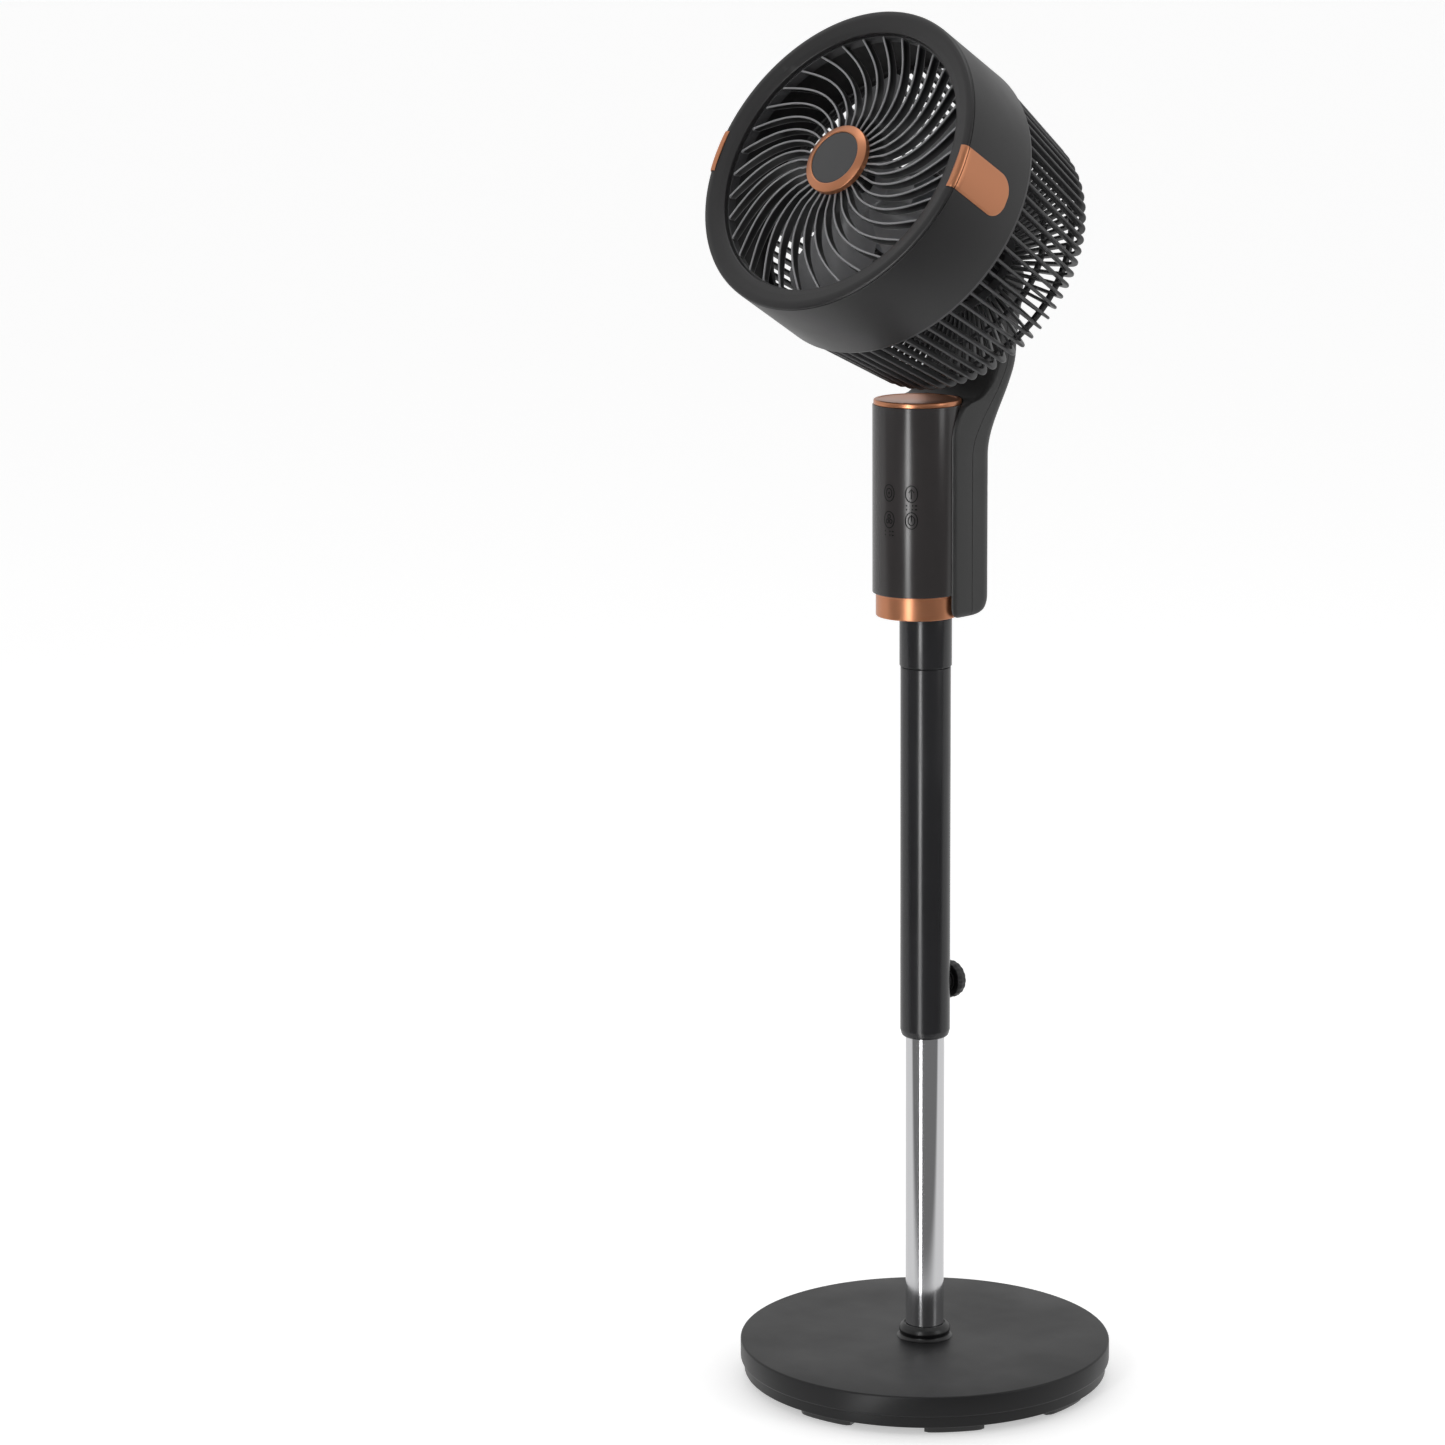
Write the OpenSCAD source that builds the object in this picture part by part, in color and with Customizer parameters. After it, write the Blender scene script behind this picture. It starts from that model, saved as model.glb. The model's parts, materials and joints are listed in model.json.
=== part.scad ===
// Pedestal circulation fan: round weighted base, telescopic pole, swinging control column,
// hooked arm and a tilting drum head. Front is -Y, up is +Z, the pole axis is the Z axis.

/* [Base] */
// Radius of the round base
base_r = 150; // [140:1:160]
// Height of the base's top face above the floor
base_top_z = 33; // [33:1:36]
// Number of rubber feet
foot_count = 8; // [6:1:10]

/* [Pole] */
// Radius of the chromed inner pole
pole_r = 15.5; // [15.5:0.5:15.5]
// Outer radius of the outer tube
tube_r = 20; // [20:0.5:20.5]
// Height of the outer tube's lower end, with the mast as pictured
tube_bottom_z = 286; // [270:1:290]
// Height of the outer tube's upper end
tube_top_z = 588; // [580:1:590]

/* [Column] */
// Radius of the control column
column_r = 35.3; // [35:0.1:35.4]
// How far the column's axis stands in front of the pole's axis
column_offset = 10.2; // [10:0.1:10.4]
// Height of the column's copper foot ring
ring_z = 630; // [630:1:630]
// Height of the column's copper top cap
cap_top_z = 801.5; // [800:0.5:802]

/* [Arm] */
// Half the width of the arm
arm_half_w = 38; // [38:0.5:40]
// Depth of the arm's back face behind the pole's axis, low down
arm_back_y = 39.5; // [38:0.5:41]

/* [Head] */
// Upward tilt of the head at rest, in degrees
head_tilt = 30.3; // [29:0.1:31]
// Depth of the head's rim centre (negative is in front of the pole)
head_y = -101.8; // [-104:0.1:-100]
// Height of the head's rim centre
head_z = 992.1; // [990:0.1:995]
// Outer radius of the drum
head_r = 126; // [124:0.5:128]
// Radius of the opening in the front bezel
bezel_r = 108.5; // [107:0.5:110]
// Length of the solid part of the drum
shroud_len = 76; // [72:1:80]
// Radius of the rear cage at its back corner
cage_r = 113; // [111:0.5:114]
// Depth of the rear cage's back face behind the rim
cage_depth = 178; // [176:1:180]
// Number of cage ribs
rib_count = 72; // [60:1:72]
// Number of spiral vanes in the front grille
vane_count = 34; // [30:1:36]
// Number of impeller blades
blade_count = 5; // [3:1:7]

/* [Hidden] */
$fn = 96;
fit = 0.05;             // radial clearance of a running fit
wall = 2.5;             // common shell thickness
foot_h = 6.5;           // height of the rubber feet
foot_r = 130;           // mean radius of the ring of feet
foot_turn = 51.6;       // direction of the first foot, from the front towards +X
plate_screw_r = 112;    // radius of the ring of screws in the underplate
flange_screw_r = 28;    // radius of the ring of screws in the pole's flange
base_wall_z = 16;       // lower edge of the base's visible wall
weight_z = 11;          // underside of the steel weight
weight_top = 23;        // top of the steel weight
collar_top = 44.5;      // top of the rubber collar at the pole's foot
pole_top = 360;         // top of the inner pole, inside the outer tube
tube_bore = 18;         // inner radius of the outer tube
sleeve_r = 20.8;        // outer radius of the top sleeve
sleeve_top = 627;       // top of the top sleeve
knob_z = 327;           // height of the clamp knob
knob_y = 24.6;          // depth of the knob's inner face behind the pole's axis
knob_r = 15.5;          // radius of the clamp knob
pad_hole_r = 5.4;       // radius of the hole for the clamp pad
spindle_r = 12;         // radius of the spindle that the column swings on
ring_r = 32.6;          // radius of the copper foot ring
column_z = 648.5;       // lower edge of the column shell
floor_top_z = column_z + 2.5; // top of the floor inside the column
cap_z = cap_top_z - 4;  // lower face of the copper top cap
swing_teeth = 34;       // fixed gear on the spindle
swing_pinion_teeth = 12;
tilt_teeth = 28;        // gear sector on the head
tilt_pinion_teeth = 10;
gear_z = 652;           // lower face of the swing gears
pinion_y = -(swing_teeth + swing_pinion_teeth) / 2;
pivot_s = 200;          // distance of the tilt axis behind the rim, along the head's axis
tilt_y = head_y + pivot_s * cos(head_tilt);
tilt_z = head_z - pivot_s * sin(head_tilt);
tilt_pinion_lean = 15;  // how far in front of straight down the tilt pinion stands
tilt_centres = (tilt_teeth + tilt_pinion_teeth) / 2;
tilt_pinion_y = tilt_y - tilt_centres * sin(tilt_pinion_lean);
tilt_pinion_z = tilt_z - tilt_centres * cos(tilt_pinion_lean);
scoop_r = 40;           // radius of the arm's hollow above the column
scoop_y = 4;            // centre of that hollow
scoop_z = 838;          // height of that hollow's centre, and the top of the arm's flare
flare_z = 755;          // height at which the arm's back starts to flare
lip_z = 770;            // height at which the arm's front leaves the column
mouth_z = 798;          // height at which the arm's front meets the hollow
fork_half = 17.4;       // half the width of the slot for the head's lug
seam_top_y = 55;        // depth of the seam between the arm's shells, above the flare
arm_bottom_z = 630;     // lower end of the arm
inlet_z = 643;          // height of the power inlet on the arm's back
recess_y = 31.5;        // floor of the screw recesses in the arm's back
arm_top_z = tilt_z + 14; // upper end of the arm
hub_r = 28.1;           // radius of the copper ring on the grille's hub
cap_r = 21.6;           // radius of the grey disc inside that ring
trim_w = 34;            // width of the copper trims at the drum's sides
trim_end = -57;         // depth at which those trims end
trim_t = 0.7;           // thickness of those trims
hub_low = -3;           // depth at which the ring and the disc sit on the grille
can_r = 38;             // radius of the motor housing
can_front = -92;        // depth of the motor housing's front end
can_back = -184;        // depth of the motor housing's back face
stator_back = -168;     // depth of the stator's and the magnet rotor's back end
blade_tip_r = 98;       // radius swept by the blades
blade_back = -69;       // depth of the blades' rear edges
blade_front = -37;      // depth of the blades' front edges

// ---------------------------------------------------------------- shared shapes

// Ring or tube from z0 to z1.
module tube(r_out, r_in, z0, z1) {
    difference() {
        translate([0, 0, z0]) cylinder(r = r_out, h = z1 - z0);
        translate([0, 0, z0 - 1]) cylinder(r = r_in, h = z1 - z0 + 2);
    }
}

// Disc whose upper edge is rounded by radius e.
module rounded_disc(r, z0, z1, e) {
    rotate_extrude() {
        square_from([0, z0], [r - e, z1]);
        square_from([0, z0], [r, z1 - e]);
        translate([r - e, z1 - e]) circle(r = e, $fn = 48);
    }
}

// Rectangle between two corners.
module square_from(low, high) {
    translate(low) square(high - low);
}

// Puts its children in the column's own axis.
module on_column() {
    translate([0, -column_offset, 0]) children();
}

// Head frame: x to the right, y up the face, z out of the front along the airflow.
module on_head() {
    translate([0, head_y, head_z]) rotate([90 - head_tilt, 0, 0]) children();
}

// Copies of the children at equal angles about Z.
module around(count, start = 0) {
    for (i = [0 : count - 1]) rotate([0, 0, start + i * 360 / count]) children();
}

// Involute of a circle of radius rb, at roll angle a in degrees.
function involute(rb, a) = [
    rb * (cos(a) + a * PI / 180 * sin(a)),
    rb * (sin(a) - a * PI / 180 * cos(a))
];
function polar_angle(p) = atan2(p[1], p[0]);
function turned(p, a) = [p[0] * cos(a) - p[1] * sin(a), p[0] * sin(a) + p[1] * cos(a)];

// One tooth of a module 1 spur gear with 20 degree pressure angle, pointing along +X.
function tooth_points(teeth, slack) =
    let (
        pitch = teeth / 2,
        rb = pitch * cos(20),
        tip = pitch + 0.9,
        roll_tip = sqrt(tip * tip / (rb * rb) - 1) * 180 / PI,
        roll_pitch = sqrt(pitch * pitch / (rb * rb) - 1) * 180 / PI,
        half = 90 / teeth - slack / pitch * 90 / PI,
        lead = polar_angle(involute(rb, roll_pitch)) + half,
        flank = [for (i = [0 : 4]) turned(involute(rb, roll_tip * i / 4), -lead)],
        root = pitch - 1.25
    )
    concat(
        [turned([root - 0.5, 0], polar_angle(flank[0]))],
        flank,
        [for (i = [4 : -1 : 0]) [flank[i][0], -flank[i][1]]],
        [turned([root - 0.5, 0], -polar_angle(flank[0]))]
    );

// Flat outline of a spur gear, or of the run of its teeth from first to last.
module gear_outline(teeth, slack, first = 0, last = -1) {
    stop = last < 0 ? teeth - 1 : last;
    for (i = [first : stop]) rotate(i * 360 / teeth) polygon(tooth_points(teeth, slack));
}

// Whole spur gear with a round hole.
module spur_gear(teeth, thick, bore, slack = 0.3) {
    linear_extrude(thick) difference() {
        union() {
            circle(r = teeth / 2 - 1.25);
            gear_outline(teeth, slack);
        }
        circle(r = bore);
    }
}

// ---------------------------------------------------------------- base

module base_feet() {
    color("black") around(foot_count, foot_turn - 90)
        rotate([0, 0, -10]) rotate_extrude(angle = 20)
            square_from([foot_r - 7, 0], [foot_r + 10, foot_h]);
}

module base_underplate() {
    color("black") difference() {
        tube(base_r - 5.5, 14, foot_h, 10);
        around(6, 30) translate([plate_screw_r, 0, foot_h - 1]) cylinder(r = 2.2, h = 10);
    }
}

module base_weight() {
    color("dimgray") difference() {
        tube(base_r - 12, pole_r + 0.5, weight_z, weight_top);
        around(6, 30) translate([plate_screw_r, 0, weight_z - 1]) cylinder(r = 2, h = 9);
        around(3) translate([flange_screw_r, 0, weight_top - 7]) cylinder(r = 2, h = 9);
    }
}

module base_cover() {
    color([0.2, 0.2, 0.21]) difference() {
        union() {
            rounded_disc(base_r, base_wall_z, base_top_z, 2.5);
            translate([0, 0, foot_h]) cylinder(r = base_r - 3, h = base_wall_z - foot_h + 1);
        }
        translate([0, 0, foot_h - 1])
            cylinder(r = base_r - 3 - wall, h = base_top_z - foot_h - wall + 1);
        translate([0, 0, base_top_z - 10]) cylinder(r = pole_r + 0.3, h = 20);
    }
}

module base_screws() {
    color("silver") around(6, 30) translate([plate_screw_r, 0, 0]) {
        translate([0, 0, foot_h - 2]) cylinder(r = 4, h = 2);
        translate([0, 0, foot_h - 1]) cylinder(r = 2, h = 11);
    }
}

module pole_flange() {
    color("dimgray") {
        difference() {
            tube(38, pole_r, weight_top, weight_top + 4);
            around(3) translate([flange_screw_r, 0, weight_top - 1]) cylinder(r = 2, h = 9);
        }
        around(3) translate([flange_screw_r, 0, weight_top - 6]) cylinder(r = 2, h = 10);
        around(3) translate([flange_screw_r, 0, weight_top + 4]) cylinder(r = 4, h = 2);
    }
}

module pole_collar() {
    color("black") difference() {
        rotate_extrude() {
            square_from([pole_r, base_top_z], [21, base_top_z + 2]);
            square_from([pole_r, base_top_z], [18.2, collar_top - 3]);
            translate([17, collar_top - 4]) circle(r = 2.6, $fn = 48);
            square_from([pole_r, base_top_z + 2], [17, collar_top]);
        }
        cylinder(r = pole_r, h = 100);
    }
}

module inner_pole() {
    color("lightgray") tube(pole_r, pole_r - 1.5, weight_top, pole_top);
}

module pole_top_guide() {
    color("white") {
        tube(tube_bore - fit, pole_r - 3, pole_top, pole_top + 10);
        tube(pole_r - 1.5, pole_r - 3, pole_top - 14, pole_top + 1);
    }
}

// ---------------------------------------------------------------- mast

module outer_tube() {
    nose = 5;
    color([0.25, 0.25, 0.26]) difference() {
        rotate_extrude() difference() {
            union() {
                square_from([pole_r + 0.4, tube_bottom_z + nose], [tube_r, tube_top_z]);
                square_from([pole_r + 0.4, tube_bottom_z], [tube_r - nose + 0.6, tube_top_z]);
                intersection() {
                    translate([tube_r - nose, tube_bottom_z + nose]) circle(r = nose, $fn = 48);
                    square_from([pole_r + 0.4, tube_bottom_z], [tube_r, tube_top_z]);
                }
            }
            square_from([0, tube_bottom_z + nose + 1], [tube_bore, tube_top_z + 1]);
        }
        translate([0, 0, knob_z]) rotate([-90, 0, 0]) cylinder(r = pad_hole_r, h = 40);
    }
}

module guide_bush() {
    color("white") difference() {
        tube(tube_bore, pole_r + fit, tube_bottom_z + 6, tube_bottom_z + 60);
        translate([0, 0, knob_z]) rotate([-90, 0, 0]) cylinder(r = pad_hole_r, h = 40);
    }
}

module clamp_boss() {
    color([0.15, 0.15, 0.15]) difference() {
        translate([0, 17, knob_z]) rotate([-90, 0, 0]) cylinder(r = 8, h = 6);
        translate([0, 0, knob_z - 20]) cylinder(r = tube_r, h = 40);
        translate([0, 0, knob_z]) rotate([-90, 0, 0]) cylinder(r = pad_hole_r, h = 21.2);
        translate([0, 0, knob_z]) rotate([-90, 0, 0]) cylinder(r = 4 + fit, h = 40);
    }
}

module top_sleeve() {
    color([0.25, 0.25, 0.26]) {
        tube(tube_bore, tube_bore - 3, tube_top_z - 12, tube_top_z);
        tube(sleeve_r, tube_bore - 3, tube_top_z, sleeve_top - 10);
        tube(sleeve_r, spindle_r, sleeve_top - 10, sleeve_top);
    }
}

module swing_spindle() {
    color("silver") {
        tube(spindle_r, spindle_r - 3, 612, gear_z + 12);
        tube(tube_bore - 3, spindle_r - 3, 612, sleeve_top - 10);
    }
}

module thrust_washer() {
    color("white") tube(tube_r, spindle_r + 0.2, sleeve_top, ring_z - 0.3);
}

module swing_gear() {
    color("ivory") translate([0, 0, gear_z]) spur_gear(swing_teeth, 8, spindle_r);
}

module spindle_nut() {
    color("silver") difference() {
        translate([0, 0, gear_z + 8]) cylinder(r = 15, h = 4, $fn = 6);
        translate([0, 0, gear_z]) cylinder(r = spindle_r, h = 20);
    }
}

// ---------------------------------------------------------------- height clamp

module clamp_pad() {
    color("white") difference() {
        translate([0, pole_r + 0.3, knob_z]) rotate([-90, 0, 0]) cylinder(r = 5.3, h = 3.4);
        translate([0, pole_r + 1.7, knob_z]) rotate([-90, 0, 0]) cylinder(r = 2.5 + fit, h = 10);
    }
}

module clamp_knob() {
    color([0.2, 0.2, 0.2]) difference() {
        translate([0, knob_y, knob_z]) rotate([-90, 0, 0]) difference() {
            rounded_disc(knob_r, 0, 11, 4);
            around(18) translate([knob_r + 1.1, 0, -1]) cylinder(r = 1.5, h = 20);
        }
        translate([0, 20, knob_z]) rotate([-90, 0, 0]) cylinder(r = 4, h = 11);
    }
}

module clamp_stud() {
    color("silver") translate([0, 0, knob_z]) rotate([-90, 0, 0]) {
        translate([0, 0, pole_r + 2]) cylinder(r = 2.5, h = 2.2);
        translate([0, 0, pole_r + 4.1]) cylinder(r = 4, h = 11.4);
    }
}

// ---------------------------------------------------------------- control column

module column_base() {
    color("black") difference() {
        on_column() translate([0, 0, ring_z]) cylinder(r = ring_r - wall, h = floor_top_z - ring_z);
        translate([0, 0, ring_z - 1]) cylinder(r = spindle_r + fit, h = 40);
    }
}

module bottom_ring() {
    color([0.75, 0.52, 0.38]) on_column() tube(ring_r, ring_r - wall, ring_z, column_z);
}

module column_shell() {
    color([0.25, 0.23, 0.24]) on_column() {
        tube(column_r, column_r - wall, column_z, cap_z);
        tube(column_r, ring_r - wall, column_z, floor_top_z);
        intersection() {
            translate([0, 0, 704]) cylinder(r = column_r - 1, h = 70);
            for (side = [-1, 1]) translate([side * 26 - 8, 11.8, 704]) cube([16, 3, 70]);
        }
    }
}

module top_cap() {
    color([0.75, 0.52, 0.38]) on_column() {
        rounded_disc(column_r - 0.9, cap_z, cap_top_z, 1.2);
        tube(column_r - wall, column_r - 2 * wall, cap_z - 6, cap_z);
    }
}

module touch_board() {
    color("darkgreen") on_column() rotate([0, 0, -135]) rotate_extrude(angle = 90)
        square_from([column_r - wall - 2, 690], [column_r - wall, 755]);
}

module control_board() {
    color("green") {
        translate([-22, 0, 700]) cube([44, 1.6, 80]);
        translate([-12, -11.5, 715]) cube([10, 11.5, 14]);
        translate([4, -8, 745]) cube([12, 8, 18]);
    }
}

module swing_motor() {
    color("silver") difference() {
        translate([0, pinion_y, gear_z + 16]) cylinder(r = 15, h = 22);
        translate([0, pinion_y, gear_z + 15]) cylinder(r = 2 + fit, h = 10);
    }
}

module swing_motor_plate() {
    color("gray") {
        difference() {
            on_column() translate([0, 0, gear_z + 13]) cylinder(r = column_r - wall, h = 3);
            translate([0, pinion_y, gear_z]) cylinder(r = 2 + fit, h = 30);
        }
        on_column() around(3, 30)
            translate([27, 0, floor_top_z]) cylinder(r = 2.5, h = gear_z + 14 - floor_top_z);
    }
}

module swing_pinion() {
    color("ivory") translate([0, pinion_y, gear_z + 0.5]) {
        spur_gear(swing_pinion_teeth, 7, 1);
        cylinder(r = 2, h = 22);
    }
}

// ---------------------------------------------------------------- arm

// Inset of a rounded lower edge of radius e at height h above the arm's bottom.
function edge_inset(h, e) = h < e ? e - sqrt(e * e - (e - h) * (e - h)) : 0;

// Share of the arm's flare that is reached at height z, from 0 to 1.
function flare(z) = (1 - cos((z - flare_z) / (scoop_z - flare_z) * 180)) / 2;

// Front and back of the arm, half its width, and the depth of its seam at height z.
function arm_front_y(z) =
    z <= lip_z ? -10 :
    z <= mouth_z ? -10 + 14 * pow((z - lip_z) / (mouth_z - lip_z), 2) :
    z <= scoop_z ? scoop_y + sqrt(pow(scoop_r, 2) - pow(scoop_z - z, 2)) :
    z <= tilt_z ? min(tilt_y - 13.5, scoop_y + scoop_r + 14 * pow((z - scoop_z) / 37, 2)) :
    tilt_y - min(13.5, sqrt(pow(14.8, 2) - pow(z - tilt_z, 2)));
function arm_back_y_at(z) =
    z <= flare_z ? arm_back_y - edge_inset(z - arm_bottom_z, 12) :
    z <= scoop_z ? arm_back_y + 33 * flare(z) :
    z <= tilt_z ?
        arm_back_y + 33 + (tilt_y - arm_back_y - 14) * (z - scoop_z) / (tilt_z - scoop_z) :
    tilt_y + 19 - 9 * pow((z - tilt_z) / (arm_top_z - tilt_z), 2);
function arm_half_at(z) =
    z <= scoop_z ? arm_half_w - edge_inset(z - arm_bottom_z, 8) :
    arm_half_w - 8 * (z - scoop_z) / (arm_top_z - scoop_z);
function seam_y(z) =
    z <= flare_z ? 12 : z <= scoop_z ? 12 + (seam_top_y - 12) * flare(z) : seam_top_y;

// Outline of the arm at height z, shrunk by inset: square front corners, round back ones.
function arm_section(z, inset) =
    let (
        w = arm_half_at(z) - inset,
        f = arm_front_y(z) + (z > lip_z ? inset : -inset),
        b = max(f + 6, arm_back_y_at(z) - inset),
        r = min(15 - inset, (b - f) / 2)
    )
    concat(
        [[-w, f, z], [w, f, z]],
        [for (i = [0 : 7]) [w - r + r * cos(i * 90 / 7), b - r + r * sin(i * 90 / 7), z]],
        [for (i = [7 : -1 : 0]) [-w + r - r * cos(i * 90 / 7), b - r + r * sin(i * 90 / 7), z]]
    );

// Closed skin through a stack of outlines that all have the same number of points.
module loft(sections) {
    n = len(sections[0]);
    last = len(sections) - 1;
    polyhedron(
        points = [for (s = sections) for (p = s) p],
        faces = concat(
            [[for (i = [n - 1 : -1 : 0]) n - 1 - i]],
            [for (k = [0 : last - 1]) for (i = [0 : n - 1])
                [k * n + i, (k + 1) * n + i, (k + 1) * n + (i + 1) % n]],
            [for (k = [0 : last - 1]) for (i = [0 : n - 1])
                [k * n + i, (k + 1) * n + (i + 1) % n, k * n + (i + 1) % n]],
            [[for (i = [n - 1 : -1 : 0]) last * n + i]]
        )
    );
}

arm_levels = [
    arm_bottom_z, arm_bottom_z + 1, arm_bottom_z + 3, arm_bottom_z + 6, arm_bottom_z + 12,
    flare_z, 763, 771, 779, 787, 793, mouth_z,
    799, 801, 804, 808, 814, 822, 830, 838, 850, 862, 874, 884, tilt_z, 897, 901, arm_top_z
];
arm_inner_levels = concat(
    [arm_bottom_z + wall],
    [for (z = arm_levels) if (z > arm_bottom_z + 4 && z < arm_top_z - 3) z],
    [arm_top_z - wall]
);

// Room for the control column in the arm.
module column_hollow() {
    on_column() translate([0, 0, arm_bottom_z - 5])
        cylinder(r = column_r + 0.15, h = cap_top_z + 5.1 - arm_bottom_z);
}

// The arm's hollow skin, with the column, the fork slot and the gear room taken out.
module arm_skin() {
    difference() {
        loft([for (z = arm_levels) arm_section(z, 0)]);
        loft([for (z = arm_inner_levels) arm_section(z, wall)]);
        column_hollow();
        translate([-fork_half, -60, tilt_z - 12]) cube([2 * fork_half, tilt_y + 74, 60]);
    }
}

// Space behind the seam, seen from the side.
module behind_seam(gap) {
    rotate([90, 0, 90]) translate([0, 0, -60]) linear_extrude(120) polygon(concat(
        [for (z = [600, 755, 765, 775, 785, 795, 805, 815, 825, 838, 930]) [seam_y(z) + gap, z]],
        [[200, 930], [200, 600]]
    ));
}

module arm_front() {
    color([0.25, 0.25, 0.26]) difference() {
        union() {
            difference() {
                arm_skin();
                behind_seam(0);
            }
            at_arm_screws() translate([0, 0, 5]) cylinder(r = 4.5, h = 7);
        }
        at_arm_screws() cylinder(r = 1.5, h = 60);
        column_hollow();
    }
}

// Places of the four screws that hold the rear cover, with Z along each screw to the rear.
module at_arm_screws() {
    for (side = [-1, 1]) for (z = [665.5, 728.7])
        translate([side * 30.5, 0, z]) rotate([-90, 0, 0]) children();
}

module arm_rear_cover() {
    boss_y = 12.3;
    color([0.28, 0.28, 0.29]) difference() {
        union() {
            intersection() {
                arm_skin();
                behind_seam(0.2);
            }
            intersection() {
                at_arm_screws() translate([0, 0, boss_y]) cylinder(r = 6.5, h = recess_y + 0.5 - boss_y);
                loft([for (z = arm_levels) arm_section(z, 1)]);
            }
        }
        at_arm_screws() cylinder(r = 1.6, h = 60);
        at_arm_screws() translate([0, 0, recess_y]) cylinder(r = 4.4, h = 20);
        translate([0, 0, inlet_z]) rotate([-90, 0, 0]) cylinder(r = 5.6, h = 60);
        column_hollow();
    }
}

module arm_screws() {
    color("silver") at_arm_screws() {
        translate([0, 0, 10.5]) cylinder(r = 1.5, h = recess_y - 10);
        translate([0, 0, recess_y]) cylinder(r = 3, h = 2);
    }
}

module tilt_bracket() {
    color("gray") {
        for (side = [-1, 1]) difference() {
            translate([side * 16.2 - 1, 0, 0]) union() {
                translate([0, tilt_y, tilt_z]) rotate([0, 90, 0]) cylinder(r = 12.5, h = 2);
                rotate([90, 0, 90]) linear_extrude(2) polygon([
                    [50, 836], [67, 836], [tilt_y + 12.5, tilt_z],
                    [tilt_y - 9.5, tilt_z], [tilt_y - 10, 872], [54, 858]
                ]);
            }
            translate([-30, tilt_y, tilt_z]) rotate([0, 90, 0]) cylinder(r = 4, h = 60);
            translate([-30, tilt_pinion_y, tilt_pinion_z]) rotate([0, 90, 0])
                cylinder(r = 1.5 + fit, h = 60);
        }
        translate([wall - arm_half_w, 50, 834]) cube([2 * (arm_half_w - wall), 4.5, 2]);
        translate([-30, 50, 834]) cube([60, 17, 2]);
    }
}

module tilt_axle() {
    color("silver") translate([-17.2, tilt_y, tilt_z]) rotate([0, 90, 0]) {
        cylinder(r = 4, h = 34.4);
        translate([0, 0, -3]) cylinder(r = 6.5, h = 3);
        translate([0, 0, 34.4]) cylinder(r = 6.5, h = 3);
    }
}

module tilt_motor() {
    color("silver") difference() {
        union() {
            translate([-15.2, 59, 848]) rotate([0, 90, 0]) cylinder(r = 10, h = 12);
            translate([-3.2, tilt_pinion_y - 5, 840]) cube([3, 9, tilt_pinion_z - 836]);
        }
        translate([-30, tilt_pinion_y, tilt_pinion_z]) rotate([0, 90, 0])
            cylinder(r = 1.5 + fit, h = 60);
    }
}

module tilt_pinion() {
    color("ivory") translate([0, tilt_pinion_y, tilt_pinion_z]) {
        translate([3, 0, 0]) rotate([90, 0, 90])
            rotate([0, 0, 90 - tilt_pinion_lean]) rotate([0, 0, 180 / tilt_pinion_teeth])
                spur_gear(tilt_pinion_teeth, 6, 1);
        translate([-6, 0, 0]) rotate([0, 90, 0]) cylinder(r = 1.5, h = 24);
    }
}

module power_inlet() {
    color("black") translate([0, arm_back_y - 12, inlet_z]) rotate([-90, 0, 0]) difference() {
        cylinder(r = 5.5, h = 12);
        translate([0, 0, 2]) cylinder(r = 3.2, h = 20);
    }
    color("silver") translate([0, arm_back_y - 12, inlet_z]) rotate([-90, 0, 0])
        cylinder(r = 1, h = 10);
}

// ---------------------------------------------------------------- head shell

module head_shroud() {
    color([0.27, 0.27, 0.28]) on_head() {
        tube(head_r, head_r - 2.8, -shroud_len, -0.5);
        tube(head_r, head_r - 8, -shroud_len, -shroud_len + 2.5);
        tube(head_r - 2.8, bezel_r + 3.5, -14, -12);
    }
}

module front_bezel() {
    color([0.3, 0.3, 0.31]) on_head() rotate_extrude() difference() {
        union() {
            square_from([bezel_r, -12], [bezel_r + 2.5, 0.5]);
            square_from([bezel_r, -2.5], [head_r, 0.5]);
            square_from([head_r - 5.3, -8], [head_r - 2.9, 0]);
            polygon([[bezel_r, -1.5], [head_r, -0.5], [head_r - 3, 2.5], [bezel_r + 1, 0.6]]);
            translate([head_r - 3, -0.5]) circle(r = 3, $fn = 48);
        }
        square_from([head_r - 2.8, -20], [head_r + 5, -0.5]);
    }
}

// One spiral vane of the grille, as a flat outline.
module vane_outline() {
    bend_r = 65;
    intersection() {
        difference() {
            translate([29, bend_r]) circle(r = bend_r + 0.7, $fn = 128);
            translate([29, bend_r]) circle(r = bend_r - 0.7, $fn = 128);
        }
        circle(r = bezel_r - 0.6);
        polygon([[22.5, -10], [120, -10], [120, 100], [60, 80], [22.5, 20]]);
    }
}

module front_grille() {
    color([0.2, 0.2, 0.21]) on_head() {
        around(vane_count) translate([0, 0, -11]) linear_extrude(7.6) vane_outline();
        tube(bezel_r, bezel_r - 1.5, -11.6, -5);
        translate([0, 0, -11.6]) cylinder(r = 25.5, h = 11.6 + hub_low);
    }
}

module hub_ring() {
    color([0.75, 0.52, 0.38]) on_head() rotate_extrude() polygon([
        [cap_r, hub_low], [hub_r, hub_low], [hub_r, 1.2], [hub_r - 0.4, 1.9],
        [cap_r + 0.7, 4.1], [cap_r, 3.9]
    ]);
}

module hub_cap() {
    color([0.33, 0.33, 0.34]) on_head() rounded_disc(cap_r, hub_low, 3.6, 0.4);
}

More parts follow.
